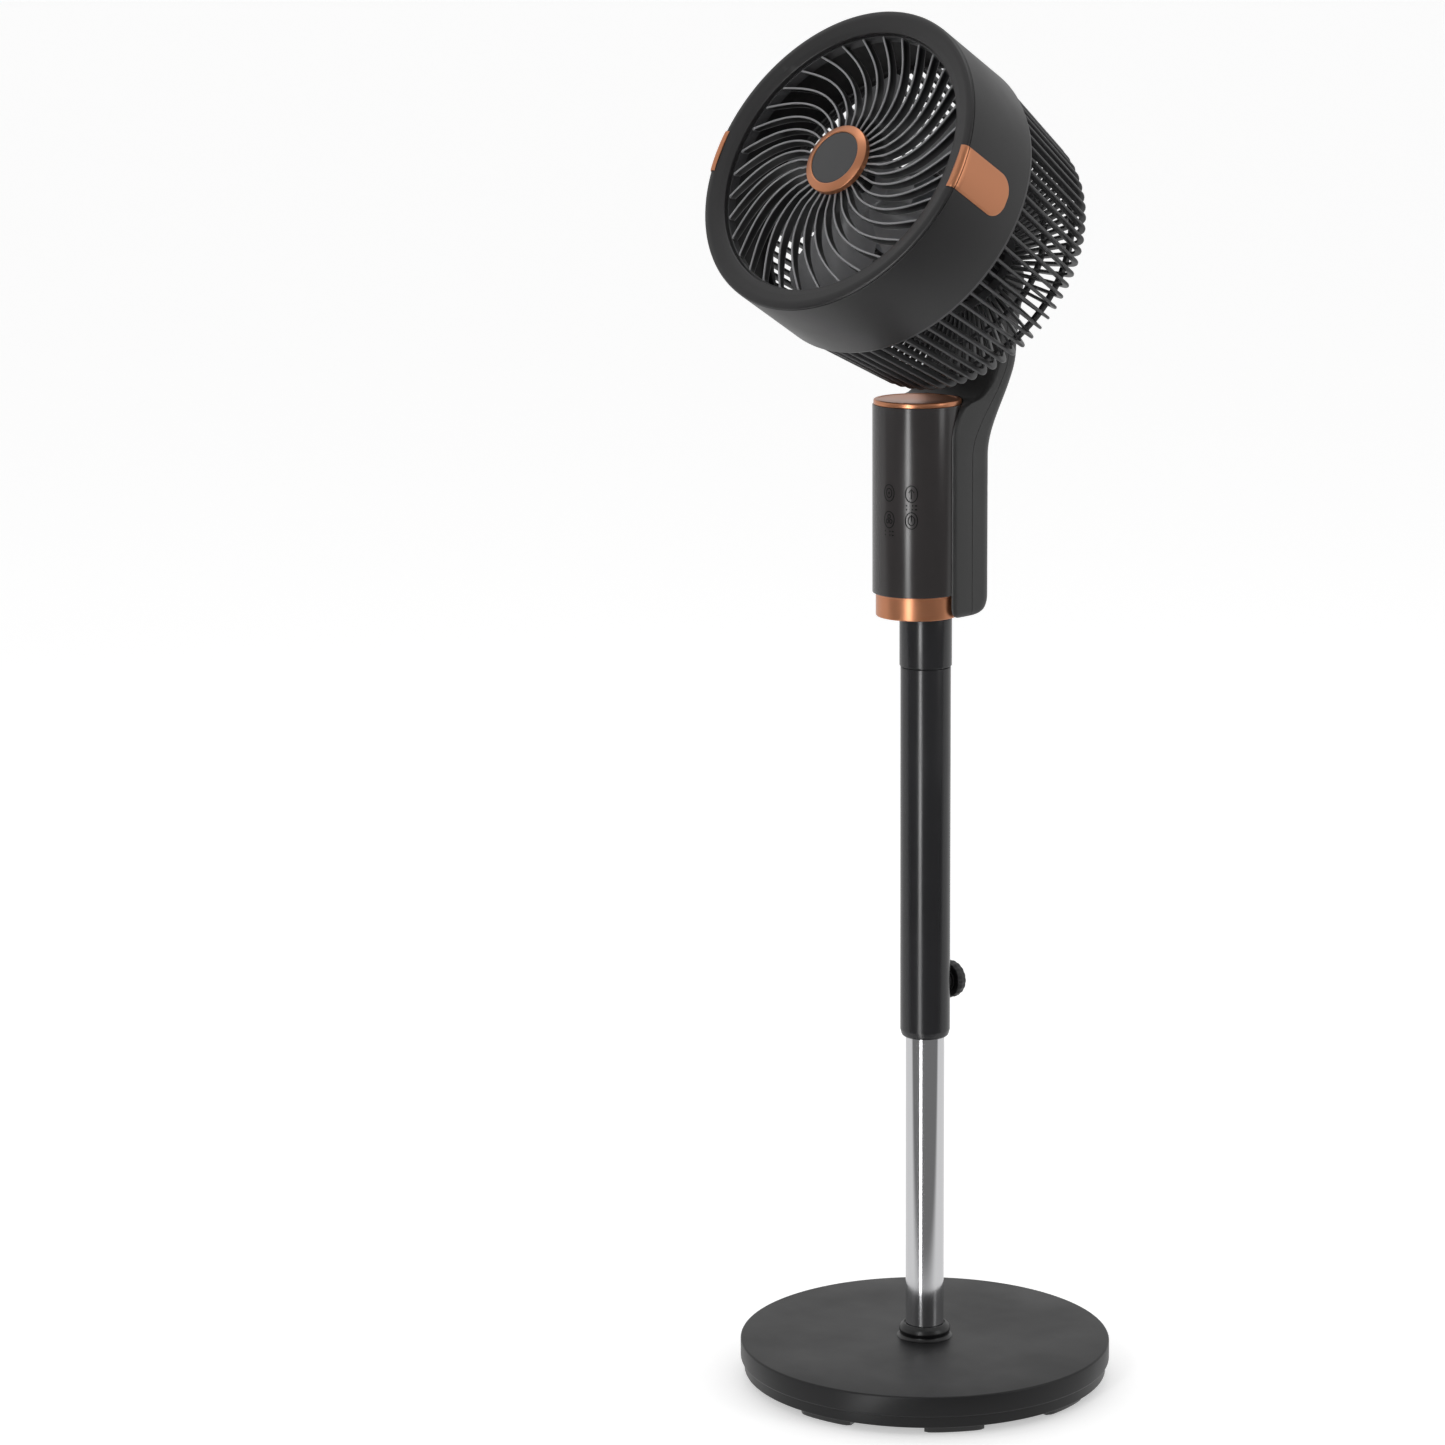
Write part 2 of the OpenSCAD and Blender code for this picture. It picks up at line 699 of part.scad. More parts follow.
// Section of a side trim, in radius and depth: a strip that curls over the bezel's edge.
module trim_profile() {
    lip = head_r - 3;
    square_from([head_r, trim_end - 1], [head_r + trim_t, -0.5]);
    difference() {
        translate([lip, -0.5]) circle(r = 3 + trim_t, $fn = 48);
        translate([lip, -0.5]) circle(r = 3.02, $fn = 48);
        square_from([lip - 9, -8], [head_r + 5, -0.5]);
        square_from([lip - 9, -8], [lip, 5]);
    }
    polygon([[lip - 2, 2.3], [lip, 2.55], [lip, 2.5 + trim_t], [lip - 2, 2.25 + trim_t]]);
}

// Outline of a side trim, seen along +X with the depth running along the first axis.
module trim_outline() {
    corner = 14;
    square_from([-6, -trim_w / 2], [-trim_end - corner, trim_w / 2]);
    for (s = [-1, 1]) translate([-trim_end - corner, s * (trim_w / 2 - corner)]) circle(r = corner);
    square_from([-trim_end - corner - 1, corner - trim_w / 2], [-trim_end, trim_w / 2 - corner]);
}

module side_trims() {
    color([0.75, 0.52, 0.38]) on_head() for (side = [0, 180]) rotate([0, 0, side]) intersection() {
        rotate([0, 0, -20]) rotate_extrude(angle = 40) trim_profile();
        rotate([0, 90, 0]) linear_extrude(200) trim_outline();
    }
}

// ---------------------------------------------------------------- rear cage

// Side view of one rib, in radius and depth, grown or shrunk by inset.
module rib_side(inset) {
    corner = 14 - inset;
    deep = -cage_depth + inset;
    polygon([
        [0, deep], [cage_r - inset - corner, deep],
        [cage_r - inset - corner + corner * sin(30), deep + corner * (1 - cos(30))],
        [cage_r - inset - corner + corner * sin(60), deep + corner * (1 - cos(60))],
        [cage_r - inset, deep + corner],
        [head_r - 1 - inset, -shroud_len], [0, -shroud_len]
    ]);
}

module rib() {
    translate([0, 1, 0]) rotate([90, 0, 0]) linear_extrude(2) difference() {
        rib_side(0);
        rib_side(6);
        square_from([0, -200], [can_r + 3, 0]);
    }
}

module rear_cage() {
    color([0.2, 0.2, 0.21]) on_head() {
        around(rib_count) rib();
        tube(head_r - 1, head_r - 8, -shroud_len - 3, -shroud_len);
        tube(99, 95, -cage_depth + 1, -cage_depth + 5);
        tube(73, 70, -cage_depth + 1, -cage_depth + 5);
        tube(46, can_r, -cage_depth, -cage_depth + 6);
    }
}

module cage_screws() {
    color("silver") on_head() around(4, 45) {
        translate([42, 0, -cage_depth - 1.8]) cylinder(r = 3.2, h = 1.8);
    }
}

// ---------------------------------------------------------------- motor

module motor_housing() {
    color([0.2, 0.2, 0.21]) on_head() difference() {
        union() {
            tube(can_r, can_r - wall, can_back, can_front);
            translate([0, 0, can_back]) cylinder(r = can_r, h = wall);
            translate([0, 0, can_back + 1]) cylinder(r = 12, h = 9);
        }
        translate([0, 0, can_back + 3]) cylinder(r = 9, h = 20);
    }
}

module motor_endplate() {
    color("silver") on_head() {
        tube(can_r - wall, 9, can_front - 3, can_front);
        tube(12, 9, can_front - 6, can_front);
    }
}

module motor_stator() {
    color("peru") on_head() difference() {
        tube(can_r - wall, 20, stator_back, can_front - 14);
        around(9) translate([27.5, 0, -180]) cylinder(r = 2.5, h = 100);
    }
}

module rear_bearing() {
    color("silver") on_head() tube(9, 4 + fit, can_back + 3, can_back + 9);
}

module front_bearing() {
    color("silver") on_head() tube(9, 4 + fit, can_front - 6, can_front);
}

module tilt_lug() {
    color([0.2, 0.2, 0.21]) on_head() difference() {
        union() {
            translate([-14, 0, -pivot_s]) rotate([0, 90, 0]) cylinder(r = 9, h = 28);
            translate([-14, -7, -pivot_s]) cube([28, 14, pivot_s + can_back]);
        }
        translate([-20, 0, -pivot_s]) rotate([0, 90, 0]) cylinder(r = 4 + fit, h = 40);
        translate([2.8, -20, -pivot_s - 20]) cube([6.4, 40, 34.4]);
    }
}

module tilt_sector() {
    color("ivory") translate([3, tilt_y, tilt_z]) rotate([90, 0, 90]) difference() {
        rotate([0, 0, -90 - tilt_pinion_lean]) union() {
            linear_extrude(6) gear_outline(tilt_teeth, 0.3, 27, 27);
            linear_extrude(6) gear_outline(tilt_teeth, 0.3, 0, 6);
            linear_extrude(6) intersection() {
                circle(r = tilt_teeth / 2 - 1.25);
                rotate(-20) polygon([[-30, 0], [40, -2], [40, 30], [10, 60], [-20, 60]]);
            }
            cylinder(r = 9, h = 6);
        }
        translate([0, 0, -1]) cylinder(r = 4 + fit, h = 10);
    }
}

// ---------------------------------------------------------------- rotor

module motor_rotor() {
    color("silver") on_head() {
        translate([0, 0, -180]) cylinder(r = 4, h = 180 - 33);
        translate([0, 0, stator_back]) cylinder(r = 19.5, h = can_front - 14 - stator_back);
    }
}

module impeller() {
    boss_r = 24;
    color([0.45, 0.45, 0.46]) on_head() {
        difference() {
            translate([0, 0, blade_back + 1]) cylinder(r = boss_r, h = 30);
            translate([0, 0, blade_back]) cylinder(r = 4, h = 60);
            tube(boss_r - 2, 8, blade_back - 1, blade_back + 25);
        }
        around(blade_count) intersection() {
            translate([0, 0, (blade_back + blade_front) / 2]) rotate([-32, 0, 0])
                translate([boss_r - 1, -30, -1.1]) cube([blade_tip_r, 60, 2.2]);
            tube(blade_tip_r, boss_r - 1, blade_back, blade_front);
        }
    }
}

module impeller_nut() {
    color([0.25, 0.25, 0.25]) on_head() difference() {
        rounded_disc(9, -38, -26, 4);
        translate([0, 0, -40]) cylinder(r = 4, h = 7);
    }
}

// ---------------------------------------------------------------- assembly

base_feet();
base_underplate();
base_weight();
base_cover();
base_screws();
pole_flange();
pole_collar();
inner_pole();
pole_top_guide();
outer_tube();
guide_bush();
clamp_boss();
top_sleeve();
swing_spindle();
thrust_washer();
swing_gear();
spindle_nut();
clamp_pad();
clamp_knob();
clamp_stud();
column_base();
bottom_ring();
column_shell();
top_cap();
touch_board();
control_board();
swing_motor();
swing_motor_plate();
swing_pinion();
arm_front();
arm_rear_cover();
arm_screws();
tilt_bracket();
tilt_axle();
tilt_motor();
tilt_pinion();
power_inlet();
head_shroud();
front_bezel();
front_grille();
hub_ring();
hub_cap();
side_trims();
rear_cage();
cage_screws();
motor_housing();
motor_endplate();
motor_stator();
rear_bearing();
front_bearing();
tilt_lug();
tilt_sector();
motor_rotor();
impeller();
impeller_nut();
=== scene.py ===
import json
import math

import bmesh
import bpy
import numpy as np
from mathutils import Matrix, Vector


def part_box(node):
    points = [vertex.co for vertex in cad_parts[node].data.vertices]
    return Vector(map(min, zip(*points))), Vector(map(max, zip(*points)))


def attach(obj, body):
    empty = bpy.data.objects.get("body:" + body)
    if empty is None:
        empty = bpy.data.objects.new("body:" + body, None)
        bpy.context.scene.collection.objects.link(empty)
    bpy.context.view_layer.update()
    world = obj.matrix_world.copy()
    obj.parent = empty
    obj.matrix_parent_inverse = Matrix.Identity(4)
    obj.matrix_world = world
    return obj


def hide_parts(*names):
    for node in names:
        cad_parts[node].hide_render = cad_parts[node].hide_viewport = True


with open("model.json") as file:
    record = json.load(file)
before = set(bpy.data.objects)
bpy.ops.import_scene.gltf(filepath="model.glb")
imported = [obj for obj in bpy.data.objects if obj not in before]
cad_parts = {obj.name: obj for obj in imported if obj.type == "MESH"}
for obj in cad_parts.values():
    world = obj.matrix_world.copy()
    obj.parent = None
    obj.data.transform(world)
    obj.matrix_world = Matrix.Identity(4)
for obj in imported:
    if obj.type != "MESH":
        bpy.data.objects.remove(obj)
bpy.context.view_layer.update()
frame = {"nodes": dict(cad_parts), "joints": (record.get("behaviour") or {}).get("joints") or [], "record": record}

# Looks of a pedestal circulation fan. Local shapes are in millimetres and are placed in metres.

MM = 0.001

# ---------------------------------------------------------------- places, from the frame


def box_mm(node):
    """Lowest and highest corner of a CAD node in millimetres."""
    low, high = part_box(node)
    return np.array(low) / MM, np.array(high) / MM


def local_frame(origin, x_axis, z_axis):
    """Matrix that takes millimetres in a local frame to metres in the row frame."""
    z = np.array(z_axis, float) / np.linalg.norm(z_axis)
    x = np.array(x_axis, float) / np.linalg.norm(x_axis)
    matrix = np.eye(4)
    matrix[:3, 0] = x * MM
    matrix[:3, 1] = np.cross(z, x) * MM
    matrix[:3, 2] = z * MM
    matrix[:3, 3] = origin
    return matrix


GROUND = local_frame((0, 0, 0), (1, 0, 0), (0, 0, 1))

joints = {joint["name"]: joint for joint in frame["joints"]}
forward = np.array(joints["impeller_spin"]["axis"])
rim = np.array(joints["impeller_spin"]["pos_m"])
pivot = np.array(joints["tilt"]["pos_m"]) / MM
HEAD = local_frame(rim, (1, 0, 0), forward)      # +Z of it points out of the grille

shell_low, shell_high = box_mm("column_shell")
ring_low, ring_high = box_mm("bottom_ring")
cap_low, cap_high = box_mm("top_cap")
column_y = (shell_low[1] + shell_high[1]) / 2
COLUMN = local_frame((0, column_y * MM, 0), (1, 0, 0), (0, 0, 1))

base_r = box_mm("base_cover")[1][0]
base_top = box_mm("base_cover")[1][2]
tube_low, tube_high = box_mm("outer_tube")
sleeve_high = box_mm("top_sleeve")[1]
pole_r = box_mm("inner_pole")[1][0]
column_r = shell_high[0]
head_r = box_mm("head_shroud")[1][0]
hub_r = box_mm("hub_ring")[1][0]
cap_r = box_mm("hub_cap")[1][0]
can_r = box_mm("motor_housing")[1][0]
knob_low, knob_high = box_mm("clamp_knob")
knob_z = (knob_low[2] + knob_high[2]) / 2
knob_r = (knob_high[2] - knob_low[2]) / 2
KNOB = local_frame((0, knob_low[1] * MM, knob_z * MM), (1, 0, 0), (0, 1, 0))

# lengths in millimetres that no CAD box gives, and counts
bezel_r = 108.5          # opening in the front bezel
shroud_back = -76        # depth of the drum's rear edge behind the rim
cage_back = -178         # depth of the rear cage's back face
VANES = 34
RIBS = 72
BLADES = 5
FEET = 8

# ---------------------------------------------------------------- materials


def srgb(red, green, blue):
    """Linear colour of an 8-bit screen colour."""
    def linear(level):
        level /= 255
        return level / 12.92 if level <= 0.04045 else ((level + 0.055) / 1.055) ** 2.4
    return (linear(red), linear(green), linear(blue), 1.0)


def surface(name, colour, roughness, metallic=0.0, grain_mm=0.5, grain=0.25, tint=0.10,
            patch_mm=60, spread=0.05, stretch=(1, 1, 1), edge_wear_and_sheen=0.10, edge_wear_and_sheen_colour=None, specular=0.5):
    """Procedural finish: fine grain in the bump, slow drifts of tone and gloss, and lighter edges. The lighter
    edges are edge wear, and where an edge colour is given they are a painted highlight on rounded edges.

    Roughness plus or minus spread stays on one side of 0.27, where denoised renders show a step.
    """
    material = bpy.data.materials.new(name)
    material.use_nodes = True
    nodes = material.node_tree.nodes
    link = material.node_tree.links.new
    shader = nodes["Principled BSDF"]
    shader.inputs["Metallic"].default_value = metallic
    shader.inputs["Specular IOR Level"].default_value = specular
    where = nodes.new("ShaderNodeTexCoord")
    mapping = nodes.new("ShaderNodeMapping")
    mapping.inputs["Scale"].default_value = stretch
    link(where.outputs["Object"], mapping.inputs["Vector"])

    drift = nodes.new("ShaderNodeTexNoise")
    drift.inputs["Scale"].default_value = 1000 / patch_mm
    drift.inputs["Detail"].default_value = 4
    link(mapping.outputs["Vector"], drift.inputs["Vector"])
    grains = nodes.new("ShaderNodeTexNoise")
    grains.inputs["Scale"].default_value = 1000 / grain_mm
    grains.inputs["Detail"].default_value = 3
    grains.inputs["Roughness"].default_value = 0.6
    link(mapping.outputs["Vector"], grains.inputs["Vector"])

    tones = nodes.new("ShaderNodeMix")
    tones.data_type = "RGBA"
    tones.inputs["A"].default_value = [c * (1 - tint) for c in colour[:3]] + [1]
    tones.inputs["B"].default_value = [min(1, c * (1 + tint)) for c in colour[:3]] + [1]
    link(drift.outputs["Fac"], tones.inputs["Factor"])

    # Lighter colour on sharp and rounded edges: edge wear; with a given edge colour, a painted highlight that the
    # edges would get from the lights.
    edge = nodes.new("ShaderNodeNewGeometry")
    edge_range = nodes.new("ShaderNodeMapRange")
    edge_range.inputs["From Min"].default_value = 0.51
    edge_range.inputs["From Max"].default_value = 0.54 if edge_wear_and_sheen_colour else 0.62
    edge_range.inputs["To Max"].default_value = edge_wear_and_sheen
    link(edge.outputs["Pointiness"], edge_range.inputs["Value"])
    edge_wear_and_sheen_mix = nodes.new("ShaderNodeMix")
    edge_wear_and_sheen_mix.data_type = "RGBA"
    edge_wear_and_sheen_mix.inputs["B"].default_value = edge_wear_and_sheen_colour or [min(1, c * 1.5 + 0.12) for c in colour[:3]] + [1]
    link(edge_range.outputs["Result"], edge_wear_and_sheen_mix.inputs["Factor"])
    link(tones.outputs["Result"], edge_wear_and_sheen_mix.inputs["A"])
    link(edge_wear_and_sheen_mix.outputs["Result"], shader.inputs["Base Color"])

    gloss = nodes.new("ShaderNodeMapRange")
    gloss.inputs["From Min"].default_value = 0.3
    gloss.inputs["From Max"].default_value = 0.7
    gloss.inputs["To Min"].default_value = max(0.02, roughness - spread)
    gloss.inputs["To Max"].default_value = roughness + spread
    link(drift.outputs["Fac"], gloss.inputs["Value"])
    link(gloss.outputs["Result"], shader.inputs["Roughness"])

    bump = nodes.new("ShaderNodeBump")
    bump.inputs["Strength"].default_value = grain
    bump.inputs["Distance"].default_value = 0.00012
    link(grains.outputs["Fac"], bump.inputs["Height"])
    link(bump.outputs["Normal"], shader.inputs["Normal"])
    return material


DRAWN = (1, 1, 0.02)     # stretch that turns grain into fine lines along Z

SURFACES = {
    "rubber_black": surface("rubber_black", srgb(16, 16, 17), 0.33, grain_mm=0.7, grain=0.35, tint=0.2),
    "base_black": surface("base_black", srgb(23, 23, 24), 0.40, grain_mm=0.55, grain=0.22,
                          specular=0.3),
    "underplate_black": surface("underplate_black", srgb(36, 36, 37), 0.6, grain_mm=0.9, grain=0.4),
    "weight_steel": surface("weight_steel", srgb(95, 96, 98), 0.55, metallic=0.3, grain_mm=1.4,
                            grain=0.4),
    "zinc_steel": surface("zinc_steel", srgb(190, 192, 196), 0.33, metallic=1, grain_mm=0.4,
                          tint=0.12),
    "chrome": surface("chrome", srgb(214, 214, 216), 0.10, metallic=1, grain_mm=0.25, grain=0.03,
                      tint=0.03, spread=0.03, stretch=DRAWN),
    "nylon_white": surface("nylon_white", srgb(226, 226, 222), 0.45, grain_mm=0.8),
    "tube_charcoal": surface("tube_charcoal", srgb(33, 33, 35), 0.22, grain_mm=0.45, grain=0.16),
    "knob_black": surface("knob_black", srgb(24, 24, 26), 0.45, grain_mm=0.5, grain=0.3),
    "copper_trim": surface("copper_trim", srgb(204, 138, 102), 0.33, metallic=0.85, grain_mm=0.5,
                           grain=0.01, tint=0.04, edge_wear_and_sheen=0),
    "column_gloss": surface("column_gloss", srgb(47, 44, 44), 0.22, grain_mm=0.4, grain=0.05,
                            tint=0.08, spread=0.04),
    "arm_charcoal": surface("arm_charcoal", srgb(45, 45, 45), 0.44, grain_mm=0.5, grain=0.28),
    "shroud_charcoal": surface("shroud_charcoal", srgb(28, 27, 28), 0.40, grain_mm=0.5, grain=0.25),
    # The edges of this finish are painted light grey: a painted highlight standing in for the lights that the rib
    # and frame edges catch.
    "grille_charcoal": surface("grille_charcoal", srgb(22, 22, 23), 0.34, grain_mm=0.5, grain=0.15,
                               edge_wear_and_sheen=0.25, edge_wear_and_sheen_colour=srgb(110, 110, 112)),
    "hub_grey": surface("hub_grey", srgb(62, 62, 63), 0.45, grain_mm=0.5, grain=0.25),
    "blade_grey": surface("blade_grey", srgb(122, 122, 124), 0.33, grain_mm=0.6, grain=0.12),
    "circuit_green": surface("circuit_green", srgb(30, 92, 48), 0.4, grain_mm=2.0, grain=0.3, tint=0.3),
    "gear_ivory": surface("gear_ivory", srgb(216, 208, 184), 0.42, grain_mm=0.9),
    "stator_copper": surface("stator_copper", srgb(176, 108, 60), 0.4, metallic=0.9,
                             grain_mm=0.6, grain=0.8, stretch=(1, 1, 0.2)),
    "motor_steel": surface("motor_steel", srgb(150, 152, 156), 0.38, metallic=1, grain_mm=0.5),
}
# Vanes are near black with their rounded front edges painted light grey: a painted highlight where the edges would
# catch the lights.
VANE = surface("vane_charcoal", srgb(14, 14, 15), 0.34, grain_mm=0.5, grain=0.12,
               edge_wear_and_sheen=0.95, edge_wear_and_sheen_colour=srgb(136, 136, 138))
INK = surface("panel_ink", srgb(8, 8, 9), 0.6, grain_mm=0.4, grain=0.1, edge_wear_and_sheen=0, specular=0.1)

for part in frame["record"]["subparts"]:
    mesh_data = frame["nodes"][part["node"]].data
    if not mesh_data.materials:
        mesh_data.materials.append(None)
    for index in range(len(mesh_data.materials)):
        mesh_data.materials[index] = SURFACES[part["material_slot"]]

# ---------------------------------------------------------------- shape tools


def rounded(outline, closed=True, steps=5):
    """Outline whose points may carry a third value, the radius of that corner."""
    result = []
    count = len(outline)
    for i, point in enumerate(outline):
        here = np.array(point[:2], float)
        radius = point[2] if len(point) > 2 else 0
        if not radius or (not closed and i in (0, count - 1)):
            result.append(here)
            continue
        back = np.array(outline[i - 1][:2], float) - here
        ahead = np.array(outline[(i + 1) % count][:2], float) - here
        back /= np.linalg.norm(back)
        ahead /= np.linalg.norm(ahead)
        half = math.acos(np.clip(back @ ahead, -1, 1)) / 2
        middle = here + (back + ahead) / np.linalg.norm(back + ahead) * radius / math.sin(half)
        start = here + back * radius / math.tan(half) - middle
        end = here + ahead * radius / math.tan(half) - middle
        first = math.atan2(start[1], start[0])
        turn = (math.atan2(end[1], end[0]) - first + math.pi) % (2 * math.pi) - math.pi
        for k in range(steps + 1):
            angle = first + turn * k / steps
            result.append(middle + radius * np.array([math.cos(angle), math.sin(angle)]))
    return result


def rounded_box(width, height, radius, steps=3):
    """Outline of a rectangle with round corners, centred on the origin."""
    w, h = width / 2, height / 2
    return rounded([(-w, -h, radius), (w, -h, radius), (w, h, radius), (-w, h, radius)], steps=steps)


def lathe(profile, steps=160, flutes=0, flute_depth=0.0):
    """Solid of revolution about Z of a closed outline of (radius, height, corner radius) points."""
    outline = rounded(profile)
    top = max(p[0] for p in outline)
    verts, rings = [], []
    for radius, height in outline:
        if radius < 1e-6:
            rings.append([len(verts)] * steps)
            verts.append((0, 0, height))
            continue
        rings.append(list(range(len(verts), len(verts) + steps)))
        for k in range(steps):
            angle = 2 * math.pi * k / steps
            wave = 0.5 - 0.5 * math.cos(flutes * angle)
            dip = flute_depth * (radius / top) ** 6 * wave if flutes else 0
            verts.append(((radius - dip) * math.cos(angle), (radius - dip) * math.sin(angle), height))
    faces = []
    for i, ring in enumerate(rings):
        following = rings[(i + 1) % len(rings)]
        for k in range(steps):
            n = (k + 1) % steps
            face = [ring[k], ring[n], following[n], following[k]]
            face = [v for j, v in enumerate(face) if v != face[j - 1]]
            if len(face) > 2:
                faces.append(face)
    return verts, faces


def skin(rings, closed=False):
    """Surface through rings of equally many points, with flat ends unless the rings close up."""
    size = len(rings[0])
    verts = [tuple(p) for ring in rings for p in ring]
    faces = []
    for i in range(len(rings) - (0 if closed else 1)):
        a, b = i * size, (i + 1) % len(rings) * size
        for k in range(size):
            n = (k + 1) % size
            faces.append([a + k, a + n, b + n, b + k])
    if not closed:
        faces.append(list(range(size))[::-1])
        faces.append([len(verts) - size + k for k in range(size)])
    return verts, faces


def plate(grid, thickness):
    """Closed plate about a grid of points; thickness is one number for each point."""
    grid = np.array(grid, float)
    along = np.gradient(grid, axis=0)
    across = np.gradient(grid, axis=1)
    normal = np.cross(along, across)
    normal /= np.linalg.norm(normal, axis=2, keepdims=True)
    offset = normal * np.array(thickness)[..., None] / 2
    upper, lower = grid + offset, grid - offset
    rings = [list(upper[i]) + list(lower[i][::-1]) for i in range(len(grid))]
    return skin(rings)


def turned(shell, angle):
    """Shell turned about Z."""
    verts = np.array(shell[0], float)
    c, s = math.cos(angle), math.sin(angle)
    x = verts[:, 0] * c - verts[:, 1] * s
    y = verts[:, 0] * s + verts[:, 1] * c
    return np.column_stack([x, y, verts[:, 2]]), shell[1]


def raw_object(name, shells, place=GROUND):
    """Object made of closed shells."""
    points, faces = [], []
    for verts, shell_faces in shells:
        start = len(points)
        points.extend(np.array(verts, float))
        faces.extend([[v + start for v in face] for face in shell_faces])
    points = np.array(points) @ place[:3, :3].T + place[:3, 3]
    mesh = bpy.data.meshes.new(name)
    mesh.from_pydata(points.tolist(), [], faces)
    work = bmesh.new()
    work.from_mesh(mesh)
    bmesh.ops.recalc_face_normals(work, faces=work.faces)
    work.to_mesh(mesh)
    work.free()
    piece = bpy.data.objects.new(name, mesh)
    bpy.context.scene.collection.objects.link(piece)
    return piece


def cut(target, tool, operation="DIFFERENCE"):
    """Applies a boolean of the target with a tool, and removes the tool."""
    modifier = target.modifiers.new("cut", "BOOLEAN")
    modifier.operation = operation
    modifier.solver = "EXACT"
    modifier.object = tool
    evaluated = target.evaluated_get(bpy.context.evaluated_depsgraph_get())
    mesh = bpy.data.meshes.new_from_object(evaluated)
    target.modifiers.clear()
    target.data = mesh
    bpy.data.objects.remove(tool)
    return target


def dress(piece, body, slot, stands_for=(), sharp=32, finish=None):
    """Gives a piece its shading, material, body and the CAD nodes that it stands for."""
    mesh = piece.data
    mesh.shade_smooth()
    mesh.set_sharp_from_angle(angle=math.radians(sharp))
    mesh.materials.clear()
    mesh.materials.append(finish or SURFACES[slot])
    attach(piece, body)
    if stands_for:
        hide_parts(*stands_for)
    return piece


def build(name, shells, body, slot, stands_for=(), place=GROUND, sharp=32, finish=None):
    """One piece from closed shells."""
    return dress(raw_object(name, shells, place), body, slot, stands_for, sharp, finish)


# ---------------------------------------------------------------- base and pole


def make_base():
    """Cover, feet, underplate, collar and pole."""
    wall_low = 16
    skirt_r = base_r - 3
    feet_top = 6.5
    build("base_cover_shell", [lathe([
        (pole_r + 0.3, base_top - 2.5), (pole_r + 0.3, base_top), (base_r - 40, base_top + 0.01),
        (base_r, base_top, 1.6), (base_r, wall_low, 1.6), (skirt_r, wall_low, 0.8),
        (skirt_r, feet_top, 0.8), (skirt_r - 2.5, feet_top), (skirt_r - 2.5, base_top - 2.5),
    ], steps=256)], "base", "base_black", ["base_cover"])

    feet = []
    inner, outer, first_foot, edge_r = 122, 140.5, -38.4, 1.6
    reach = math.radians(10)
    steps = 16
    for k in range(FEET):
        centre = math.radians(first_foot + 360 / FEET * k)
        rings = []
        for j in range(steps + 1):
            t = -1 + 2 * j / steps
            angle = centre + reach * t
            trim = 2.2 * abs(t) ** 12
            section = rounded([
                (inner + trim, 0, edge_r), (outer - trim, 0, edge_r),
                (outer - trim, feet_top + 0.6), (inner + trim, feet_top + 0.6),
            ])
            rings.append([(r * math.cos(angle), r * math.sin(angle), z) for r, z in section])
        feet.append(skin(rings))
    build("base_feet_pads", feet, "base", "rubber_black", ["base_feet"])

    plate_r, hole_r, ribs, rib_half = base_r - 5.6, 14, 12, 1.2
    under = [lathe([
        (hole_r, feet_top), (plate_r, feet_top, 0.8), (plate_r, 10), (hole_r, 10),
    ], steps=192)]
    rib = skin([[(r, w, z) for w, z in rounded_box(2 * rib_half, 3, 0.6)] for r in (30, 118)])
    rib = ([(x, y, z + feet_top) for x, y, z in rib[0]], rib[1])
    for k in range(ribs):
        under.append(turned(rib, 2 * math.pi * (k + 0.5) / ribs))
    for radius in (60, 100, 118):
        near, far = radius - rib_half, radius + rib_half
        under.append(lathe([(near, 5, 0.5), (far, 5, 0.5), (far, 8), (near, 8)]))
    build("base_underplate_ribbed", under, "base", "underplate_black", ["base_underplate"])

    collar_top = box_mm("pole_collar")[1][2]
    build("pole_collar_boot", [lathe([
        (pole_r, base_top), (25.0, base_top, 0.2), (21.6, base_top + 0.5, 3),
        (19.6, base_top + 2.4, 1.6), (21.2, base_top + 6, 2.6), (19.8, collar_top - 2.4, 2.8),
        (17.4, collar_top - 0.1, 1.4), (16.6, collar_top - 0.1, 0.4), (16.1, collar_top - 1.2, 0.2),
        (pole_r, collar_top - 1.2),
    ])], "base", "rubber_black", ["pole_collar"])

    pole_top = box_mm("inner_pole")[1][2]
    build("inner_pole_chrome", [lathe([
        (pole_r - 1.5, 23), (pole_r, 23), (pole_r, pole_top, 0.4), (pole_r - 1.5, pole_top),
    ], steps=128)], "base", "chrome", ["inner_pole"])


# ---------------------------------------------------------------- mast


